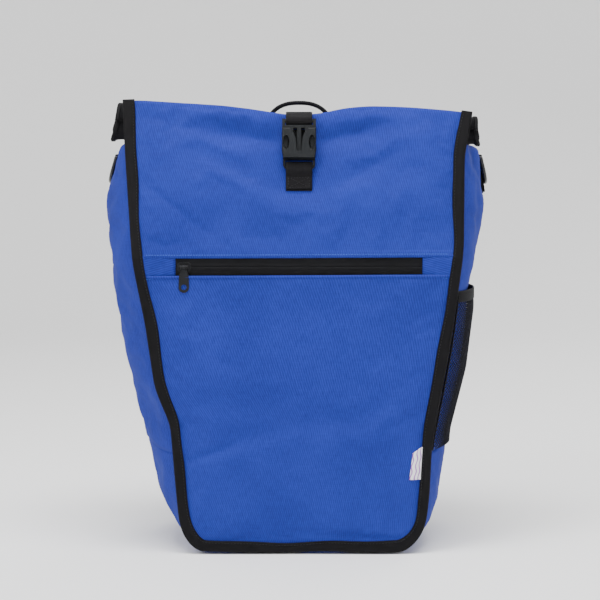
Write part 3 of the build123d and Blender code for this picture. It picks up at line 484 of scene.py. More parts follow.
def stitches(name, rows, body, material, pitch=3.2, length=2.3, radius=0.26):
    """Sewing thread: short sunk six-sided stitches along each row of (path, outward normal)."""
    verts, faces = [], []
    for path, up in rows:
        dense = resample(path, 0.5)
        s = lengths(dense)
        at = lambda d: np.array([np.interp(d, s, dense[:, k]) for k in range(3)])
        count = int(s[-1] / pitch)
        for n in range(count):
            a, b = at(n * pitch + 0.4), at(n * pitch + 0.4 + length)
            d = b - a
            size = np.linalg.norm(d)
            if size < 0.5:
                continue
            d /= size
            u = np.asarray(up, float)
            u = u - d * (u @ d)
            u /= np.linalg.norm(u)
            w = np.cross(d, u)
            base = len(verts)
            for t, r, h in STITCH:
                for q in range(6):
                    ang = q * math.pi / 3
                    p = a + (b - a) * t + (w * math.cos(ang) + u * math.sin(ang)) * radius * r + u * h
                    verts.append(p * MM)
            for ring in range(4):
                for q in range(6):
                    k = (q + 1) % 6
                    here = base + ring * 6
                    faces.append((here + q, here + k, here + 6 + k, here + 6 + q))
            faces.append(tuple(base + q for q in range(5, -1, -1)))
            faces.append(tuple(base + 24 + q for q in range(6)))
    flat = lambda co: np.stack([co[:, 0] + co[:, 1], co[:, 2]], 1)
    make_object(name, mesh_from(name, verts, faces, flat=flat), body, material)


# ---- outline of the stuffed bag
def corner(foot, height, reach, power=1.65):
    """A rounded bottom corner as (z, x): foot on the ground, then reach further out over its height."""
    places = (1, 0.9, 0.76, 0.58, 0.35, 0.1)
    return [(height * (1 - u), foot + reach * (1 - u**power) ** (1 / power)) for u in places]


# Sideways reach at heights, as (z, x): the front tape's edge, the gussets' middle and the back tape's edge.
left_out = table([
    *corner(-90, 34, -24.5), (60, -117), (124, -122), (150, -133), (162, -137), (219, -145), (275, -156),
    (294, -158), (380, -165), (431, -168),
], 2.5)
right_out = table([
    *corner(93, 34, 28.5), (57, 124), (105, 126), (200, 143), (275, 153), (294, 155), (378, 157), (388, 159),
    (406, 163), (419, 165),
], 2.5)
left_mid = table([
    (3, -98), (8, -106), (21, -119), (40, -130), (60, -139), (190, -169), (230, -177), (335, -188),
    (350, -186), (368, -181), (383, -176), (400, -166),
], 4.0)
right_mid = table([
    (3, 102), (8, 114), (21, 126), (41, 134), (62, 139), (112, 145), (171, 156), (250, 165), (290, 174),
    (335, 180), (378, 174), (393, 169), (400, 164),
], 4.0)
back_out = table([*corner(90, 24, 21.5), (100, 122), (282, 156), (400, 158)], 3.0)
# The front's top edge, as (x, z): it dips under the closing strap.
top_edge = table([
    (-168, 428), (-70, 421), (-28, 415), (-1, 413), (25, 415), (44, 419), (67, 421), (103, 420), (165, 415.5),
], 6.0)
TAPE_W = 10.6


def smoothstep(x, low, high):
    """Eases from 0 at low to 1 at high."""
    t = np.clip((np.asarray(x, float) - low) / (high - low), 0, 1)
    return t * t * (3 - 2 * t)


def bump_at(x, z, cx, cz, sx, sz, turn=0.0):
    """A soft bump centred on (cx, cz), with its axes turned by turn degrees."""
    a = math.radians(turn)
    dx, dz = x - cx, z - cz
    u, w = dx * math.cos(a) + dz * math.sin(a), -dx * math.sin(a) + dz * math.cos(a)
    return np.exp(-((u / sx) ** 2) - (w / sz) ** 2)


def from_tape(x, z):
    """Distance in from the tape's inner edge, negative under the tape."""
    return np.minimum(np.minimum(x - left_out(z), right_out(z) - x), np.asarray(z) * 1.0) - TAPE_W


def edge_dip(x, z):
    """0 at the tape's inner edge, rising to 1 further in."""
    return 1 - np.exp(-np.maximum(from_tape(x, z), 0) / 16.0)


# Folds and hollows: height in mm, then the centre, the half sizes and the turn of bump_at.
LOWER_FOLDS = (
    (1.7, -70, 180, 55, 40, 20), (-1.3, -20, 120, 70, 9, 12), (-1.6, -88, 96, 32, 5, 18),
    (1.0, 60, 90, 40, 30), (-2.2, 62, 17, 34, 3.6, -4), (-1.2, -60, 14, 30, 3.5, 3),
    (-1.0, 95, 200, 10, 60, 8),
)
UPPER_FOLDS = (
    (-6.4, -58, 397, 56, 9.0, -9), (-5.8, 46, 396, 38, 8.5, 11), (2.4, -66, 415, 62, 7.0, -5),
    (2.4, 72, 413, 50, 7, 2), (-1.6, -70, 368, 60, 8, -24), (-1.5, 66, 366, 60, 8, 26),
    (1.3, -50, 345, 60, 10, -30), (1.2, 92, 385, 46, 9, 20),
)


def lower_relief(x, z):
    """How far the stuffed lower front stands out of its plane."""
    swell = 8.0 * np.sin(np.pi * np.clip((z - 2) / (ZIP_LOW + 8), 0, 1)) ** 0.6
    h = swell * edge_dip(x, z)
    for amount, *spot in LOWER_FOLDS:
        h += amount * bump_at(x, z, *spot)
    return np.where(from_tape(x, z) < 1.5, np.minimum(h, -0.4), h)


def upper_relief(x, z):
    """The same for the leaning upper front, which the closing strap draws in at the middle."""
    swell = 6.0 * smoothstep(z, BEND + 2, BEND + 62) * (1 - 0.55 * smoothstep(z, 395, 424))
    h = swell * edge_dip(x, z)
    drawn = smoothstep(z, 318, 348)
    hold = np.exp(-((x / 30.0) ** 4)) * drawn
    h = h * (1 - hold) + 0.15 * hold
    away = 1 - np.exp(-((x / 21.0) ** 4))
    for amount, *spot in UPPER_FOLDS:
        h += away * amount * bump_at(x, z, *spot)
    h -= 1.0 * bump_at(x, z, -120, 330, 50, 7, -38)
    return np.where(from_tape(x, z) < 1.5, np.minimum(h, -0.4), h)


def front_grid(z_rows, n_across, relief, top=False, seed=1.0):
    """Points of a front panel, from edge to edge of the tape, over rows of height z."""
    rows = []
    for z in z_rows:
        lo, hi = left_out(z) + TAPE_W * 0.45, right_out(z) - TAPE_W * 0.45
        t = np.linspace(0, 1, n_across)
        x = lo + (hi - lo) * (0.72 * t + 0.28 * (0.5 - 0.5 * np.cos(np.pi * t)))
        zz = np.full_like(x, z)
        if top:
            zz = z + (top_edge(x) - TOP) * smoothstep(z, BEND + 70, TOP)
        h = relief(x, zz)
        flat = np.stack([x, front_y(zz), zz], 1)
        calm = (np.abs(zz - ZIP_Z) > 9) * (1 - 0.8 * bump_at(x, zz, 0, 385, 24, 60))
        h = h + fbm(flat, 55, 0.9, seed) * edge_dip(x, zz) * calm
        rows.append(flat + front_normal(z, 4.0)[None] * h[:, None])
    return np.array(rows)


# ---- front panels
zip_rise = table([(-120, 0.0), (0, 0.5), (120, 1.2)], 20)
near_zip = np.linspace(ZIP_LOW - 4.5, ZIP_LOW - 1.4, 5)
rows = np.concatenate([np.linspace(1.4, 26, 14), np.linspace(30, ZIP_LOW - 6, 62), near_zip])
lower = front_grid(rows, 100, lower_relief, seed=3.0)
lower[-7:, :, 2] += zip_rise(lower[-7:, :, 0])
hem = lower[-1]
lap = [hem + np.array([0, y, z]) for y, z in ((-1.1, -0.3), (-0.9, 0.35), (0.2, 0.45))]
lower = np.concatenate([lower[:-2], lower[-2:-1] + np.array([0, -0.8, 0]), lap])
front_low = grid("front_lower_cloth", lower, None, BLUE, flip=True)
pins = border(*lower.shape[:2], rows=1, columns=1, soft=2)
pins[-7:] = 1.0
near = np.clip(1.6 - np.hypot(lower[:, :, 0] - 110, (lower[:, :, 2] - 90) / 1.8) / 14, 0, 1)
near = np.maximum(near, np.clip(1.8 - from_tape(lower[:, :, 0], lower[:, :, 2]) / 3, 0, 1))
settle(front_low, np.maximum(pins, near), slack=0.006, pressure=1.2, cap=3.5)
thicken(front_low, "bag")
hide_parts("front_panel_lower")

near_top = np.linspace(TOP - 4.5, TOP, 6)
near_zip = np.linspace(ZIP_HIGH + 1.2, BEND + 8, 6)
rows = np.concatenate([near_zip, np.linspace(BEND + 11, TOP - 6, 58), near_top])
upper = front_grid(rows, 110, upper_relief, top=True, seed=8.0)
upper[:4, :, 2] += zip_rise(upper[:4, :, 0])
lap = [upper[0] + np.array([0, y, z]) for y, z in ((0.2, -0.45), (-0.9, -0.35), (-1.15, 0.3))]
upper = np.concatenate([lap, upper[1:]])
ridge = upper[-1]
FOLD_R = 2.6
turn = [
    ridge - OUT * FOLD_R + OUT * FOLD_R * math.cos(a) + UP * FOLD_R * math.sin(a)
    for a in np.radians(np.linspace(18, 180, 9))
]
turn += [turn[8] - UP * d for d in (4, 9, 15, 22)]
upper = np.concatenate([upper, turn])
front_up = grid("front_upper_cloth", upper, None, BLUE, flip=True)
pins = border(*upper.shape[:2], rows=0, columns=1, soft=2)
pins[:8] = 1.0
pins[-14:] = 1.0
strap_hold = np.clip(1.9 - np.abs(upper[:, :, 0]) / 21, 0, 1) * smoothstep(upper[:, :, 2], 322, 334)
strap_hold = np.maximum(strap_hold, np.clip(1.8 - from_tape(upper[:, :, 0], upper[:, :, 2]) / 3, 0, 1))
settle(front_up, np.maximum(pins, strap_hold), slack=0.007, pressure=1.0, cap=3.5)
thicken(front_up, "bag")
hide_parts("front_panel_upper")


# ---- side gussets and base
def side_profile(v, power=0.72):
    """How far a side has bulged at v: 0 at both edges and 1 in the middle."""
    return np.sin(np.pi * np.clip(v, 0, 1)) ** power


def tab_line(word):
    """The foot of a ring's webbing tab and the ring's pivot."""
    low, high = box_mm(f"ring_tab_{word}")
    joint = next(j for j in frame["joints"] if j["name"] == f"ring_{word}_swing")
    pin = np.array(joint["pos_m"]) * 1000
    x = low[0] + 2.0 if word == "left" else high[0] - 2.0
    return np.array([x, pin[1], low[2] + 1.0]), pin


SEAM_Z = 97.0  # height of the base seam at the front binding


def seam_height(v):
    """The base seam rises a little behind the front binding."""
    return SEAM_Z + 11.0 * smoothstep(v, 0.0, 0.5)


def side_x(sign, v, z, middle=None, power=0.72):
    """Where a bulging side stands: v runs from the front edge to the back edge."""
    edge = (left_out if sign < 0 else right_out)(z) - sign * 5.0
    back = sign * (back_out(z) - 4.5)
    if middle is None:
        middle = (left_mid if sign < 0 else right_mid)(z)
    chord = edge * (1 - v) + back * v
    return chord + (middle - chord) * side_profile(v, power)


def gusset_grid(sign):
    """Points of a side gusset, held in where a ring's tab lies on it."""
    rows = []
    v = np.linspace(0, 1, 44)
    v = 0.5 - 0.5 * np.cos(np.pi * v) * 0.55 - 0.45 * (0.5 - v)
    v = (v - v[0]) / (v[-1] - v[0])
    for t in np.linspace(0, 1, 78):
        z_top = MOUTH - 1.0 + (BACK - (FRONT + 20) - v * (BACK - FRONT - 20)) * math.tan(ROOF)
        z = seam_height(v) + (z_top - seam_height(v)) * t
        y = front_y(z) * (1 - v) + BACK * v
        x = side_x(sign, v, z)
        points = np.stack([x, y, z], 1)
        pull = side_profile(v, 0.5)
        ripple = fbm(points, 38, 2.2, 5.0 + sign) * pull
        ripple += 0.9 * np.sin(z / 6.5 + 3 * v + sign) * np.exp(-v / 0.05) * smoothstep(z, 110, 160)
        ripple += 1.6 * smoothstep(t, 0.86, 1.0) * np.sin(v * 19 + sign)
        points[:, 0] += sign * ripple
        rows.append(points)
    rows = np.array(rows)
    foot, pin = tab_line("left" if sign < 0 else "right")
    y, z = rows[:, :, 1], rows[:, :, 2]
    under = np.abs(foot[0] + (pin[0] - foot[0]) * (z - foot[2]) / (pin[2] - foot[2])) - 3.4
    near = np.exp(-(((y - pin[1]) / 17) ** 4)) * smoothstep(z, foot[2] - 26, foot[2] - 6)
    near = near * (1 - smoothstep(z, pin[2] - 2, pin[2] + 12))
    rows[:, :, 0] -= sign * near * np.maximum(np.abs(rows[:, :, 0]) - under, 0)
    return rows


def base_grid():
    """The base: down from the left seam, under the bag and up to the right seam."""
    up_side = np.concatenate([np.linspace(SEAM_Z, 12, 26), np.linspace(9.5, 1.4, 6)])
    path = [(-1, z) for z in up_side]
    path += [(x, 0.0) for x in np.linspace(-0.94, 0.94, 32)]
    path += [(1, z) for z in up_side[::-1]]
    v = np.linspace(0, 1, 34)
    v = (1 - np.cos(np.pi * v)) / 2 * 0.5 + v * 0.5
    rows = []
    for kind, z in path:
        if abs(kind) == 1:
            zz = z + (seam_height(v) - SEAM_Z) * max(0.0, z - 12) / (SEAM_Z - 12)
            x = side_x(kind, v, zz)
        else:
            x = kind * (100 + 2 * np.sin(np.pi * v))
            zz = 0.5 + 0.9 * (1 - side_profile(v, 0.4)) + np.zeros_like(v)
            if kind < 0:
                x = x * 0.97
        y = FRONT * (1 - v) + BACK * v
        inset = 9 * np.clip(1 - zz / 14, 0, 1) ** 1.6
        y = y + inset * (1 - 2 * v)
        points = np.stack([x, y, zz], 1)
        if abs(kind) == 1:
            points[:, 0] += kind * fbm(points, 42, 2.0, 11.0) * side_profile(v, 0.5) * smoothstep(zz, 2, 20)
        rows.append(points)
    return np.array(rows)


gussets = {}
for sign, word in SIDES:
    pts = gusset_grid(sign)
    gussets[sign] = pts
    top = pts[-1]
    bends = (0.5, 1.0, 1.57)
    hem = [top + np.array([-sign * (1 - math.cos(a)) * 2.2, 0, 2.2 * math.sin(a) - 0.6]) for a in bends]
    turned_in = 0.08 + 0.92 * side_profile(np.linspace(0, 1, pts.shape[1]), 0.3)
    rim = hem[-1]
    hem += [rim + np.array([-sign * d, 0, -0.5 - d * 0.12]) * turned_in[:, None] for d in (4.0, 9.0, 14.0)]
    pts = np.concatenate([pts, np.array(hem)])
    obj = grid(f"gusset_cloth_{word}", pts, None, BLUE, flip=sign > 0)
    pins = border(*pts.shape[:2], rows=1, columns=1, soft=2)
    pins[-7:] = 1.0
    pin_at = tab_line(word)[1]
    near = np.clip(2.0 - np.hypot(pts[:, :, 1] - pin_at[1], (pts[:, :, 2] - pin_at[2] + 18) / 1.5) / 18, 0, 1)
    settle(obj, np.maximum(pins, near), slack=0.012, pressure=0.8, cap=3.5 if sign < 0 else 1.5)
    thicken(obj, "bag")
    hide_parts(f"gusset_{word}")
base_points = base_grid()
base = grid("base_cloth", base_points, None, BLUE, flip=True)
pins = border(*base_points.shape[:2], rows=1, columns=1, soft=2)
pins = np.maximum(pins, np.clip(1.8 - base_points[:, :, 2] / 9, 0, 1))
settle(base, pins, slack=0.010, pressure=0.6, cap=2.5)
thicken(base, "bag")
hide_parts("base_panel")
rows = []
for sign, word in SIDES:
    low = gussets[sign][0]
    rows.append((low + np.array([sign * 0.5, 0, 2.2]), (sign, 0, 0)))
    lip = [low + (sign * x, 0, z) for x, z in ((0.1, 3.4), (0.75, 1.2), (0.8, -0.4), (0.1, -1.0))]
    grid(f"base_seam_{word}", lip, "bag", BLUE, flip=sign > 0)
stitches("base_seam_thread", rows, "bag", BLUE_THREAD)

# ---- back panel
z_rows = np.concatenate([np.linspace(1.4, 22, 10), np.linspace(27, MOUTH, 60)])
back_rows = []
for z in z_rows:
    half = back_out(z) - 4.5
    x = np.linspace(-half, half, 60)
    points = np.stack([x, np.full_like(x, BACK - 0.5), np.full_like(x, z)], 1)
    points[:, 1] -= 0.9 * (np.abs(fbm(points, 30, 1.0, 21.0)) * np.exp(-(half - np.abs(x)) / 14))
    back_rows.append(points)
back = grid("back_cloth", back_rows, "bag", BLUE, thick=CLOTH_T)
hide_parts("back_panel")


# ---- binding tape
def outline_path(left, right, top_left, top_right):
    """Outer edge of a panel from its top left corner round the bottom to its top right corner, as (x, z)."""
    down = [(left(z), z) for z in np.arange(top_left, 5, -2.0)]
    up = [(right(z), z) for z in np.arange(6, top_right, 2.0)] + [(right(top_right), top_right)]
    x0, x1 = down[-1][0] + 7, up[0][0] - 7
    under = [(x, 0.95 + 0.5 * (1 + math.sin(x / 17.0))) for x in np.linspace(x0, x1, 40)]
    return smooth_path(np.array(down + under + up), 1.2, 5.0)


def tape(name, flat, depth, normal_at, wobble, node, seed, facing=-1.0):
    """Folded binding over an edge: flat is its outer line as (x, z), and depth(x, z) the panel's y."""
    tangent = np.gradient(flat, axis=0)
    tangent /= np.linalg.norm(tangent, axis=1, keepdims=True)
    inward = np.stack([-tangent[:, 1], tangent[:, 0]], 1)
    s = np.arange(len(flat)) * 1.2
    width = TAPE_W + 0.9 * np.sin(s / 31.0 + seed) + 0.5 * np.sin(s / 11.0 + 2 * seed)
    profile = [
        (0.00, 0.0), (0.02, 0.75), (0.08, 1.25), (0.22, 1.45), (0.45, 1.35), (0.70, 1.25), (0.88, 1.25),
        (0.96, 1.1), (1.0, 0.55),
    ]
    loop = profile + [(c, -d) for c, d in reversed(profile[1:])]
    rows = []
    for i, (p, n_in, w) in enumerate(zip(flat, inward, width)):
        ring = []
        for c, d in loop:
            q = p + n_in * w * c
            y = depth(q[0], q[1])
            normal = normal_at(q[1])
            sway = wobble * math.sin(s[i] / 23.0 + seed) * (1 - c) + 0.25 * math.sin(s[i] / 6.0) * (c > 0.8)
            ring.append(np.array([q[0], y, q[1]]) + normal * (d + sway))
        rows.append(ring)
    obj = grid(name, rows, "bag", TAPE, wrap=True, caps=True, flip=facing > 0)
    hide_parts(node)
    inner = flat + inward * (width[:, None] - 1.9)
    line = [np.array([x, depth(x, z), z]) + normal_at(z) * 1.32 for x, z in inner]
    thread = [(np.array(line), (0, facing, 0))]
    stitches(name + "_thread", thread, "bag", BLACK_THREAD, pitch=3.0, length=2.2, radius=0.24)


front_flat = outline_path(left_out, right_out, 430.4, 418.9)
front_depth = lambda x, z: float(front_y(z)) - 1.0
tape("front_binding", front_flat, front_depth, front_normal, 0.5, "binding_front", 0.4)
back_flat = outline_path(lambda z: -back_out(z), back_out, MOUTH, MOUTH)
back_depth = lambda x, z: BACK + 1.0
tape("back_binding", back_flat, back_depth, lambda z: -AHEAD, 0.4, "binding_back", 1.9, facing=1.0)

# ---- front zip
half = box_mm("zip_end_left")[1][0]
x_left, x_right = half - 1.5, -half + 1.5
xs = np.linspace(x_left, x_right, 120)
# A zip tape's section: distance from the zip's middle, and depth, with the coil's round edge first.
ZIP_SECTION = (
    (0.30, 1.4), (0.35, 0.15), (0.7, -0.35), (1.5, -0.55), (2.3, -0.35), (3.0, 0.10), (4.5, 0.05),
    (8.6, 0.10), (9.6, 0.3),
)
for name, node, s in (("zip_band_lower", "zip_tape_lower", -1), ("zip_band_upper", "zip_tape_upper", 1)):
    pts = np.array([
        [(x, FRONT + 0.35 + d + 0.1 * math.sin(x / 9.0), ZIP_Z + s * c) for c, d in ZIP_SECTION]
        for x in xs
    ])
    obj = grid(name, pts, "bag", ZIPCLOTH, thick=0.7, flip=s < 0)
    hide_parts(node)
for sign, word in SIDES:
    node_lo, node_hi = box_mm(f"zip_end_{word}")
    inner = node_hi[0] if sign < 0 else node_lo[0]
    outer = (left_out(ZIP_Z) if sign < 0 else right_out(ZIP_Z)) - sign * TAPE_W * 0.6
    rows = []
    for t in np.linspace(0, 1, 14):
        x = inner + (outer - inner) * t
        lift = -0.75 if t > 0.06 else -0.2 - 9 * t
        tall = ZIP_HIGH - ZIP_LOW + 3
        rows.append([
            (x, FRONT + lift + 0.25 * math.sin(t * 9 + k), ZIP_LOW - 1.5 + tall * k / 7) for k in range(8)
        ])
    obj = grid(f"zip_end_cloth_{word}", rows, "bag", BLUE, thick=0.7, flip=sign < 0)
    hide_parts(f"zip_end_{word}")
thread = []
edge_l, edge_r = left_out(ZIP_Z) + TAPE_W + 1, right_out(ZIP_Z) - TAPE_W - 1
for z, d in ((ZIP_LOW - 3.4, -1.45), (ZIP_HIGH + 3.2, -1.75)):
    line = [(x, FRONT + d, z + zip_rise(x)) for x in np.linspace(edge_l, edge_r, 60)]
    thread.append((np.array(line), AHEAD))
for x in (x_left - 3.5, x_right + 3.5):
    line = [(x, FRONT - 0.95, z) for z in np.linspace(ZIP_LOW + 1, ZIP_HIGH - 1, 8)]
    thread.append((np.array(line), AHEAD))
stitches("zip_seam_thread", thread, "bag", BLUE_THREAD, pitch=2.6, length=1.9, radius=0.22)

# ---- webbing on the front
low_up = (box_mm("buckle_female")[0][2] - BEND - 2.2 * OUT[2]) / UP[2]
path = ((-21, 1.15), (5.6, 1.1), (5.6, 6.9), (-2.2, 6.9), (-6.5, 3.1), (-19.5, 3.0))
path = np.array([slope(0, low_up + u, o) for u, o in path])
webtab = band("strap_tab_webbing", smooth_path(path, 0.7, 1.1), (1, 0, 0), "bag", WEB)
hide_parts("strap_tab")
X_BOX = []
CORNERS = ((-10, -18.5), (10, -18.5), (10, -8.5), (-10, -8.5))
for a, b in ((0, 1), (1, 2), (2, 3), (3, 0), (0, 2), (1, 3)):
    (xa, ua), (xb, ub) = CORNERS[a], CORNERS[b]
    X_BOX.append((np.array([slope(xa, low_up + ua, 3.95), slope(xb, low_up + ub, 3.95)]), OUT))
stitches("strap_tab_thread", X_BOX, "bag", BLACK_THREAD, pitch=2.6, length=1.9, radius=0.24)

# ---- lid, rolled mouth and closing strap
HINGE_Z = MOUTH + 0.5
lid_lo = box_mm("lid_cloth")[0]
rows = []
for t in np.linspace(0, 1, 40):
    y = BACK - t * (BACK - lid_lo[1] - 12)
    z = HINGE_Z + (BACK - y) * math.tan(ROOF) + 0.8
    ends = [np.interp(-y, -gussets[side][-1][::-1, 1], gussets[side][-1][::-1, 0]) for side in (-1, 1)]
    x = np.linspace(ends[0] + 0.4, ends[1] - 0.4, 90)
    rim = np.minimum(x - x[0], x[-1] - x)
    drop = 2.4 * (1 - smoothstep(rim, 0, 5)) - 1.6
    points = np.stack([x, np.full_like(x, y), z + 1.2 - drop], 1)
    fade = smoothstep(t, 0.0, 0.25) * (1 - 0.6 * bump_at(x, y, 0, y, 22, 1000))
    creases = fbm(points * np.array([1, 0.45, 1]), 34, 2.0, 31.0) + 0.4
    points[:, 2] += creases * fade * smoothstep(rim, 0, 20)
    points[:, 2] = np.where(np.abs(x) < 16, z + 1.2, points[:, 2])
    rows.append(points)
tuck = [
    rows[0] * np.array([0.985, 0, 0]) + np.array([0, BACK - 2.2 - d, MOUTH - z])
    for d, z in ((0.4, 9.0), (0.2, 4.5), (0.0, 0.8))
]
lid = grid("lid_fabric", np.concatenate([tuck, rows]), None, BLUE, flip=True)
lid.modifiers.new("thick", "SOLIDIFY").thickness = CLOTH_T * MM
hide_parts("lid_cloth")
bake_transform(lid)

ROLL_DEPTH = 13.1  # the middle of the roll lies this far behind the front's plane
centre = slope(0, 131.0, -ROLL_DEPTH)


def roll_ring(x):
    """The roll's outline at x: a flattened loop, fuller at its corners."""
    ring = []
    for a in np.linspace(0, 2 * math.pi, 40, endpoint=False):
        up = 15.2 * math.copysign(abs(math.sin(a)) ** 0.72, math.sin(a))
        out = 9.2 * math.copysign(abs(math.cos(a)) ** 0.8, math.cos(a))
        ring.append(centre + UP * up + OUT * out + np.array([x, 0, 0]))
    return np.array(ring)


half_roll = box_mm("rolled_mouth")[1][0]
rows = []
for x in np.linspace(-half_roll, half_roll, 110):
    ring = roll_ring(x)
    sag = top_edge(x) - TOP
    pinch = 1 - 0.06 * math.exp(-((x / 26.0) ** 2))
    here = centre + np.array([x, 0, 0])
    ring = here + (ring - here) * pinch
    swell = fbm(ring * np.array([0.5, 1, 1]), 26, 1.1, 41.0)
    ring = ring + swell[:, None] * ((ring - centre) * np.array([0, 1, 1])) / 15
    ring[:, 2] += (sag - 1.0) * smoothstep(ring[:, 2], centre[2] - 8, centre[2] + 16)
    rows.append(ring)
roll = grid("rolled_fabric", rows, "lid", BLUE, wrap=True, caps=True)
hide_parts("rolled_mouth")
HEM_SECTION = (
    (-13.6, -8.4), (-14.6, -4.4), (-13.8, -0.5), (-9.5, 1.4), (-9.2, 0.2), (-13.0, -1.2), (-13.6, -4.3),
    (-12.8, -8.0),
)
lip = []
for x in np.linspace(-half_roll + 1, half_roll - 1, 80):
    here = centre + np.array([x, 0, 0])
    lip.append([here + UP * (u + 0.5 * math.sin(x / 19.0)) + OUT * (o - 2.2) for u, o in HEM_SECTION])
grid("rolled_hem", lip, "lid", BLUE, wrap=True, caps=True)

# The black ends of the roll: wound layers, cut aslant and pressed out of round.
ROLL_ENDS = ((-1, "left", 173.5, 0.20, 20.5, 2.5), (1, "right", 168.5, 0.10, 16.0, -6.5))
for sign, word, reach, tilt, tall, shift in ROLL_ENDS:
    angle = np.linspace(0, 2 * math.pi * 2.6, 130)
    shrink = np.linspace(1.0, 0.28, 130)
    up = tall * shrink * np.sign(np.sin(angle)) * np.abs(np.sin(angle)) ** 0.75 + shift
    out = 9.8 * shrink * np.sign(np.cos(angle)) * np.abs(np.cos(angle)) ** 0.85
    layers = centre + UP * up[:, None] + OUT * out[:, None]
    wobble = fbm(layers, 13, 2.2, 51.0 + sign)
    rows = []
    for t in np.linspace(0, 1, 11):
        end = reach - tilt * (up - shift) + 1.3 * np.sin(angle * 1.7)
        x = sign * (half_roll - 8 + (end - half_roll + 8) * t)
        ring = centre + (layers - centre) * (1 + 0.05 * math.sin(t * 7) - 0.04 * t)
        rows.append(ring + np.stack([x, np.zeros_like(x), 0.5 * wobble * t], 1))
    end_name = f"roll_end_cloth_{word}"
    obj = grid(end_name, rows, "lid", BLACK_CLOTH, thick=1.3, flip=sign > 0)
    edge = resample(rows[-1], 2.0)
    band(f"roll_end_edge_{word}", edge, (sign, 0, 0), "lid", TAPE, width=4.0, thick=2.0)
    if sign < 0:
        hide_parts("roll_ends")

bar_up = (box_mm("buckle_male")[1][2] - BEND) / UP[2] - 4.1
mid_out = 7.4
top_up = (float(top_edge(0)) - BEND) / UP[2]
path = [
    np.array([0, y, HINGE_Z + (BACK - y) * math.tan(ROOF) + 4.0])
    for y in (box_mm("closing_strap")[1][1], lid_lo[1] + 34)
]
path += [
    slope(0, top_up + u, o) for u, o in ((-4, -24.3), (4.2, -21.1), (5.2, -6), (5.0, 2.2))
]
path += [
    slope(0, bar_up + u, mid_out + o)
    for u, o in ((4.6, 2.4), (1.0, 3.0), (-3.2, 2.2), (-3.2, -2.6), (3.6, -3.0))
]
strap_path = smooth_path(np.array(path), 0.8, 1.6)
strap = band("closing_webbing", strap_path, (1, 0, 0), None, WEB)
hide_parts("closing_strap")
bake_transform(strap)

# ---- shoulder-strap ring tabs
for sign, word in SIDES:
    foot, pin = tab_line(word)
    up_dir = np.array([pin[0] - foot[0], 0, pin[2] - foot[2]])
    up_dir /= np.linalg.norm(up_dir)
    out_dir = np.array([up_dir[2] * sign, 0, -up_dir[0] * sign])
    line = [pin - up_dir * 34 - out_dir * 2.6, pin - up_dir * 10 - out_dir * 3.2]
    for a in np.radians(np.linspace(-110, 120, 12)):
        line.append(pin + 3.2 * (-out_dir * math.cos(a) + up_dir * math.sin(a)))
    line += [pin - up_dir * 9 - out_dir * 0.9, pin - up_dir * 33 - out_dir * 0.9]
    line = smooth_path(np.array(line), 0.7, 0.9)
    tab = band(f"ring_tab_webbing_{word}", line, (0, 1, 0), "bag", WEB, width=20.0, thick=1.5)
    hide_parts(f"ring_tab_{word}")
    across = np.array([(0, -8, 0), (0, 8, 0)])
    rows = [(pin - up_dir * u - out_dir * 0.02 + across, out_dir) for u in (13, 28, 31)]
    thread = f"ring_tab_thread_{word}"
    stitches(thread, rows, "bag", BLACK_THREAD, pitch=2.2, length=1.6, radius=0.24)

# ---- carry handle
h_lo, h_hi = box_mm("carry_handle")
r = (h_hi[0] - h_lo[0]) / 2 - 1.7
y_c = (h_lo[1] + h_hi[1]) / 2
shoulder = h_hi[2] - r - 0.7  # where the legs meet the arch
flatter = lambda v: math.copysign(abs(v) ** 0.82, v)
arch = np.linspace(0.03, math.pi - 0.03, 60)
line = [(-r, y_c, z) for z in np.linspace(h_lo[2] + 1, shoulder, 30)]
line += [(-r * flatter(math.cos(a)), y_c, shoulder + r * flatter(math.sin(a))) for a in arch]
line += [(r, y_c, z) for z in np.linspace(shoulder, h_lo[2] + 1, 30)]
line = resample(np.array(line), 1.5)
handle = band("handle_webbing", line, (0, 1, 0), "handle", WEB, width=h_hi[1] - h_lo[1], thick=4.0)
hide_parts("carry_handle")

# ---- side label
mat, shader, add, join = nodes_of("woven_label")
set_shader(shader, 0.55, 0.4, 0.2)
height, u, v = yarn_waves(add, 0.0006, 0.0006)
wavy = calc(add, "SINE", calc(add, "MULTIPLY", u, 520.0))
stripe = calc(add, "SINE", calc(add, "MULTIPLY_ADD", v, 1500.0, wavy))
ends = calc(add, "GREATER_THAN", stripe, 0.62)
join("Base Color", ramp(add, ends, 0.4, 0.6, (0.78, 0.76, 0.80), (0.30, 0.10, 0.42)))
rows = []
for t in np.linspace(0, 1, 16):
    x1, z1 = 118.0 - 2.6 * t, 104.0 - 32.0 * t
    x0, z0 = 107.6 - 3.4 * t, 97.6 - 25.6 * t
    row = []
    for k in np.linspace(0, 1, 9):
        x, z = x0 + (x1 - x0) * k, z0 + (z1 - z0) * k
        relief = float(lower_relief(np.array([x]), np.array([z]))[0])
        row.append((x, FRONT - relief - 1.5 - 1.4 * math.sin(k * 2.4) * (0.6 + 0.4 * t), z))
    rows.append(row)
label = grid("woven_label", rows, "bag", mat, thick=0.5, flip=True)
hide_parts("side_label")

# ---- net pocket
e_lo, e_hi = box_mm("pocket_elastic")
net_mid = table([(97, 148), (111, 149), (171, 164), (231, 171), (252, 170)], 3.0)


def net_surface(v, z, lift=0.0):
    """The net's surface: v runs from the front edge to the back edge."""
    x = side_x(1, v, z, np.maximum(net_mid(z), right_mid(z) + 1.6), 0.62) + lift
    y = front_y(z) * (1 - v) + BACK * v
    return np.array([float(x), float(y), float(z)])


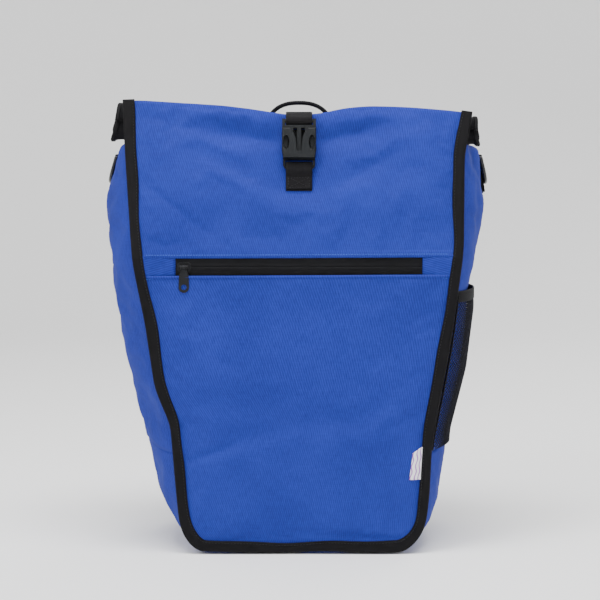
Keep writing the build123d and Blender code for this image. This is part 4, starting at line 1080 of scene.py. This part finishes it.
z0, z1 = 99.0, e_lo[2] + 1
nv, nz = 36, 38
verts, faces, index = [], [], {}
for i in range(nz * 2 + 1):
    for j in range(nv * 2 + 1):
        if (i + j) % 2 == 0:
            v, z = 0.02 + 0.95 * j / (nv * 2), z0 + (z1 - z0) * i / (nz * 2)
            index[i, j] = len(verts)
            verts.append(tuple(net_surface(v, z) * MM))
for i in range(1, nz * 2):
    for j in range(1, nv * 2):
        if (i + j) % 2 == 1:
            quad = [(i - 1, j), (i, j + 1), (i + 1, j), (i, j - 1)]
            if all(q in index for q in quad):
                faces.append([index[q] for q in quad])
mesh = mesh_from("pocket_net", verts, faces, flat=lambda co: co[:, 1:])
net = make_object("pocket_net", mesh, None, NET, smooth=False)
wire = net.modifiers.new("strands", "WIREFRAME")
wire.thickness, wire.use_even_offset, wire.use_replace = 0.0009, False, True
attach(net, "bag")
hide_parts("mesh_pocket")
line = np.array([net_surface(v, e_hi[2] - 5.0, 0.4) for v in np.linspace(0.01, 0.98, 60)])
line = resample(line, 1.5)
elastic = band("pocket_elastic_band", line, (0, 0, 1), "bag", BLACK_CLOTH, width=11.0)
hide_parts("pocket_elastic")
for name, vv in (("pocket_edge_front", 0.025), ("pocket_edge_back", 0.965)):
    line = np.array([net_surface(vv, z, 0.5) for z in np.linspace(z0, z1 + 4, 50)])
    band(name, line, (0, 1, 0), "bag", TAPE, width=6.0, thick=1.3)

# ---- finishes of the CAD pieces that stay
finish = {
    BUCKLE: ["buckle_female", "buckle_male", "buckle_prong_left", "buckle_prong_right"],
    DARK_METAL: ["zip_slider", "zip_pull"],
    RING_METAL: ["shoulder_ring_left", "shoulder_ring_right"],
    PLASTIC: [
        "hook_rail", "rack_hook_left", "rack_hook_right", "hook_latch_left", "hook_latch_right",
        "anchor_rail", "anchor_slide", "anchor_hook",
    ],
    STEEL: [
        "latch_pin_left", "latch_pin_right", "handle_rivets", "hook_screws", "rail_screw", "anchor_screws",
        "flange_nuts",
    ],
    BOARD: ["back_board", "base_board"],
    LINING: ["pocket_lining"],
}
for material, names in finish.items():
    for name in names:
        obj = frame["nodes"][name]
        obj.data.materials.clear()
        obj.data.materials.append(material)
        if material in (BUCKLE, PLASTIC, DARK_METAL):
            soften = obj.modifiers.new("soften", "BEVEL")
            soften.width = 0.00035 if material is not DARK_METAL else 0.0002
            soften.segments = 2
            soften.limit_method, soften.angle_limit = "ANGLE", math.radians(35)
            soften.harden_normals = False

# ---- floor, light and camera
ground = min(0.0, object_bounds()[0][2] + 0.0002)
arc = np.linspace(0, math.pi / 2, 14)[1:]
profile = [(1.3, 0.0), (1.9, 0.0)] + [(1.9 + 1.1 * math.sin(a), 1.1 - 1.1 * math.cos(a)) for a in arc]
profile += [(3.0, 2.2), (3.0, 3.4)]
turns = np.linspace(0, 2 * math.pi, 72, endpoint=False)
verts = [(0.0, 0.0, ground)]
verts += [(r * math.cos(a), r * math.sin(a), ground + z) for r, z in profile for a in turns]
faces = [(0, 1 + k, 1 + (k + 1) % 72) for k in range(72)]
for ring in range(len(profile) - 1):
    for k in range(72):
        a, b = 1 + ring * 72 + k, 1 + ring * 72 + (k + 1) % 72
        faces.append((a, a + 72, b + 72, b))
mesh = bpy.data.meshes.new("floor")
mesh.from_pydata(verts, [], faces)
mesh.polygons.foreach_set("use_smooth", [True] * len(faces))
floor = place_object("floor", mesh)
mat, shader, add, join = nodes_of("pale_floor")
set_shader(shader, 0.9, 0.1)
shader.inputs["Base Color"].default_value = (0.91, 0.91, 0.91, 1)
floor.data.materials.append(mat)
floor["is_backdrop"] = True


def aim(obj, place, target):
    """Stands a light or camera at a place, facing a target."""
    obj.location = place
    obj.rotation_euler = (target - place).to_track_quat("-Z", "Y").to_euler()


def area_light(name, place, target, size, power):
    """A white rectangular light that faces a target."""
    data = bpy.data.lights.new(name, "AREA")
    data.shape, data.size, data.size_y = "RECTANGLE", size[0], size[1]
    data.energy = power
    aim(place_object(name, data), Vector(place), Vector(target))


area_light("key", (-1.15, -1.15, 1.5), (0, 0, 0.27), (0.8, 0.7), 17)
area_light("fill", (1.7, -1.5, 0.7), (0, 0, 0.2), (1.4, 1.4), 3)
area_light("rear", (1.1, 1.7, 1.5), (0, 0, 0.22), (1.1, 1.1), 16)
area_light("over", (0.0, -0.55, 2.1), (0, 0, 0.25), (1.4, 0.8), 60)
world = bpy.data.worlds.new("studio")
bpy.context.scene.world = world
world.use_nodes = True
world.node_tree.nodes["Background"].inputs[0].default_value = (1.0, 1.0, 1.0, 1)
world.node_tree.nodes["Background"].inputs[1].default_value = 0.6

WIDTH, DISTANCE, TILT = 0.564, 1.6, math.radians(5.0)
target = Vector((0.0009, FRONT * MM, 0.2425))
cam_data = bpy.data.cameras.new("camera")
cam_data.lens, cam_data.sensor_width = 36 * DISTANCE / WIDTH, 36
camera = place_object("camera", cam_data)
aim(camera, target + Vector((0, -math.cos(TILT), math.sin(TILT))) * DISTANCE, target)
bpy.context.scene.camera = camera

low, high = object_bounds()
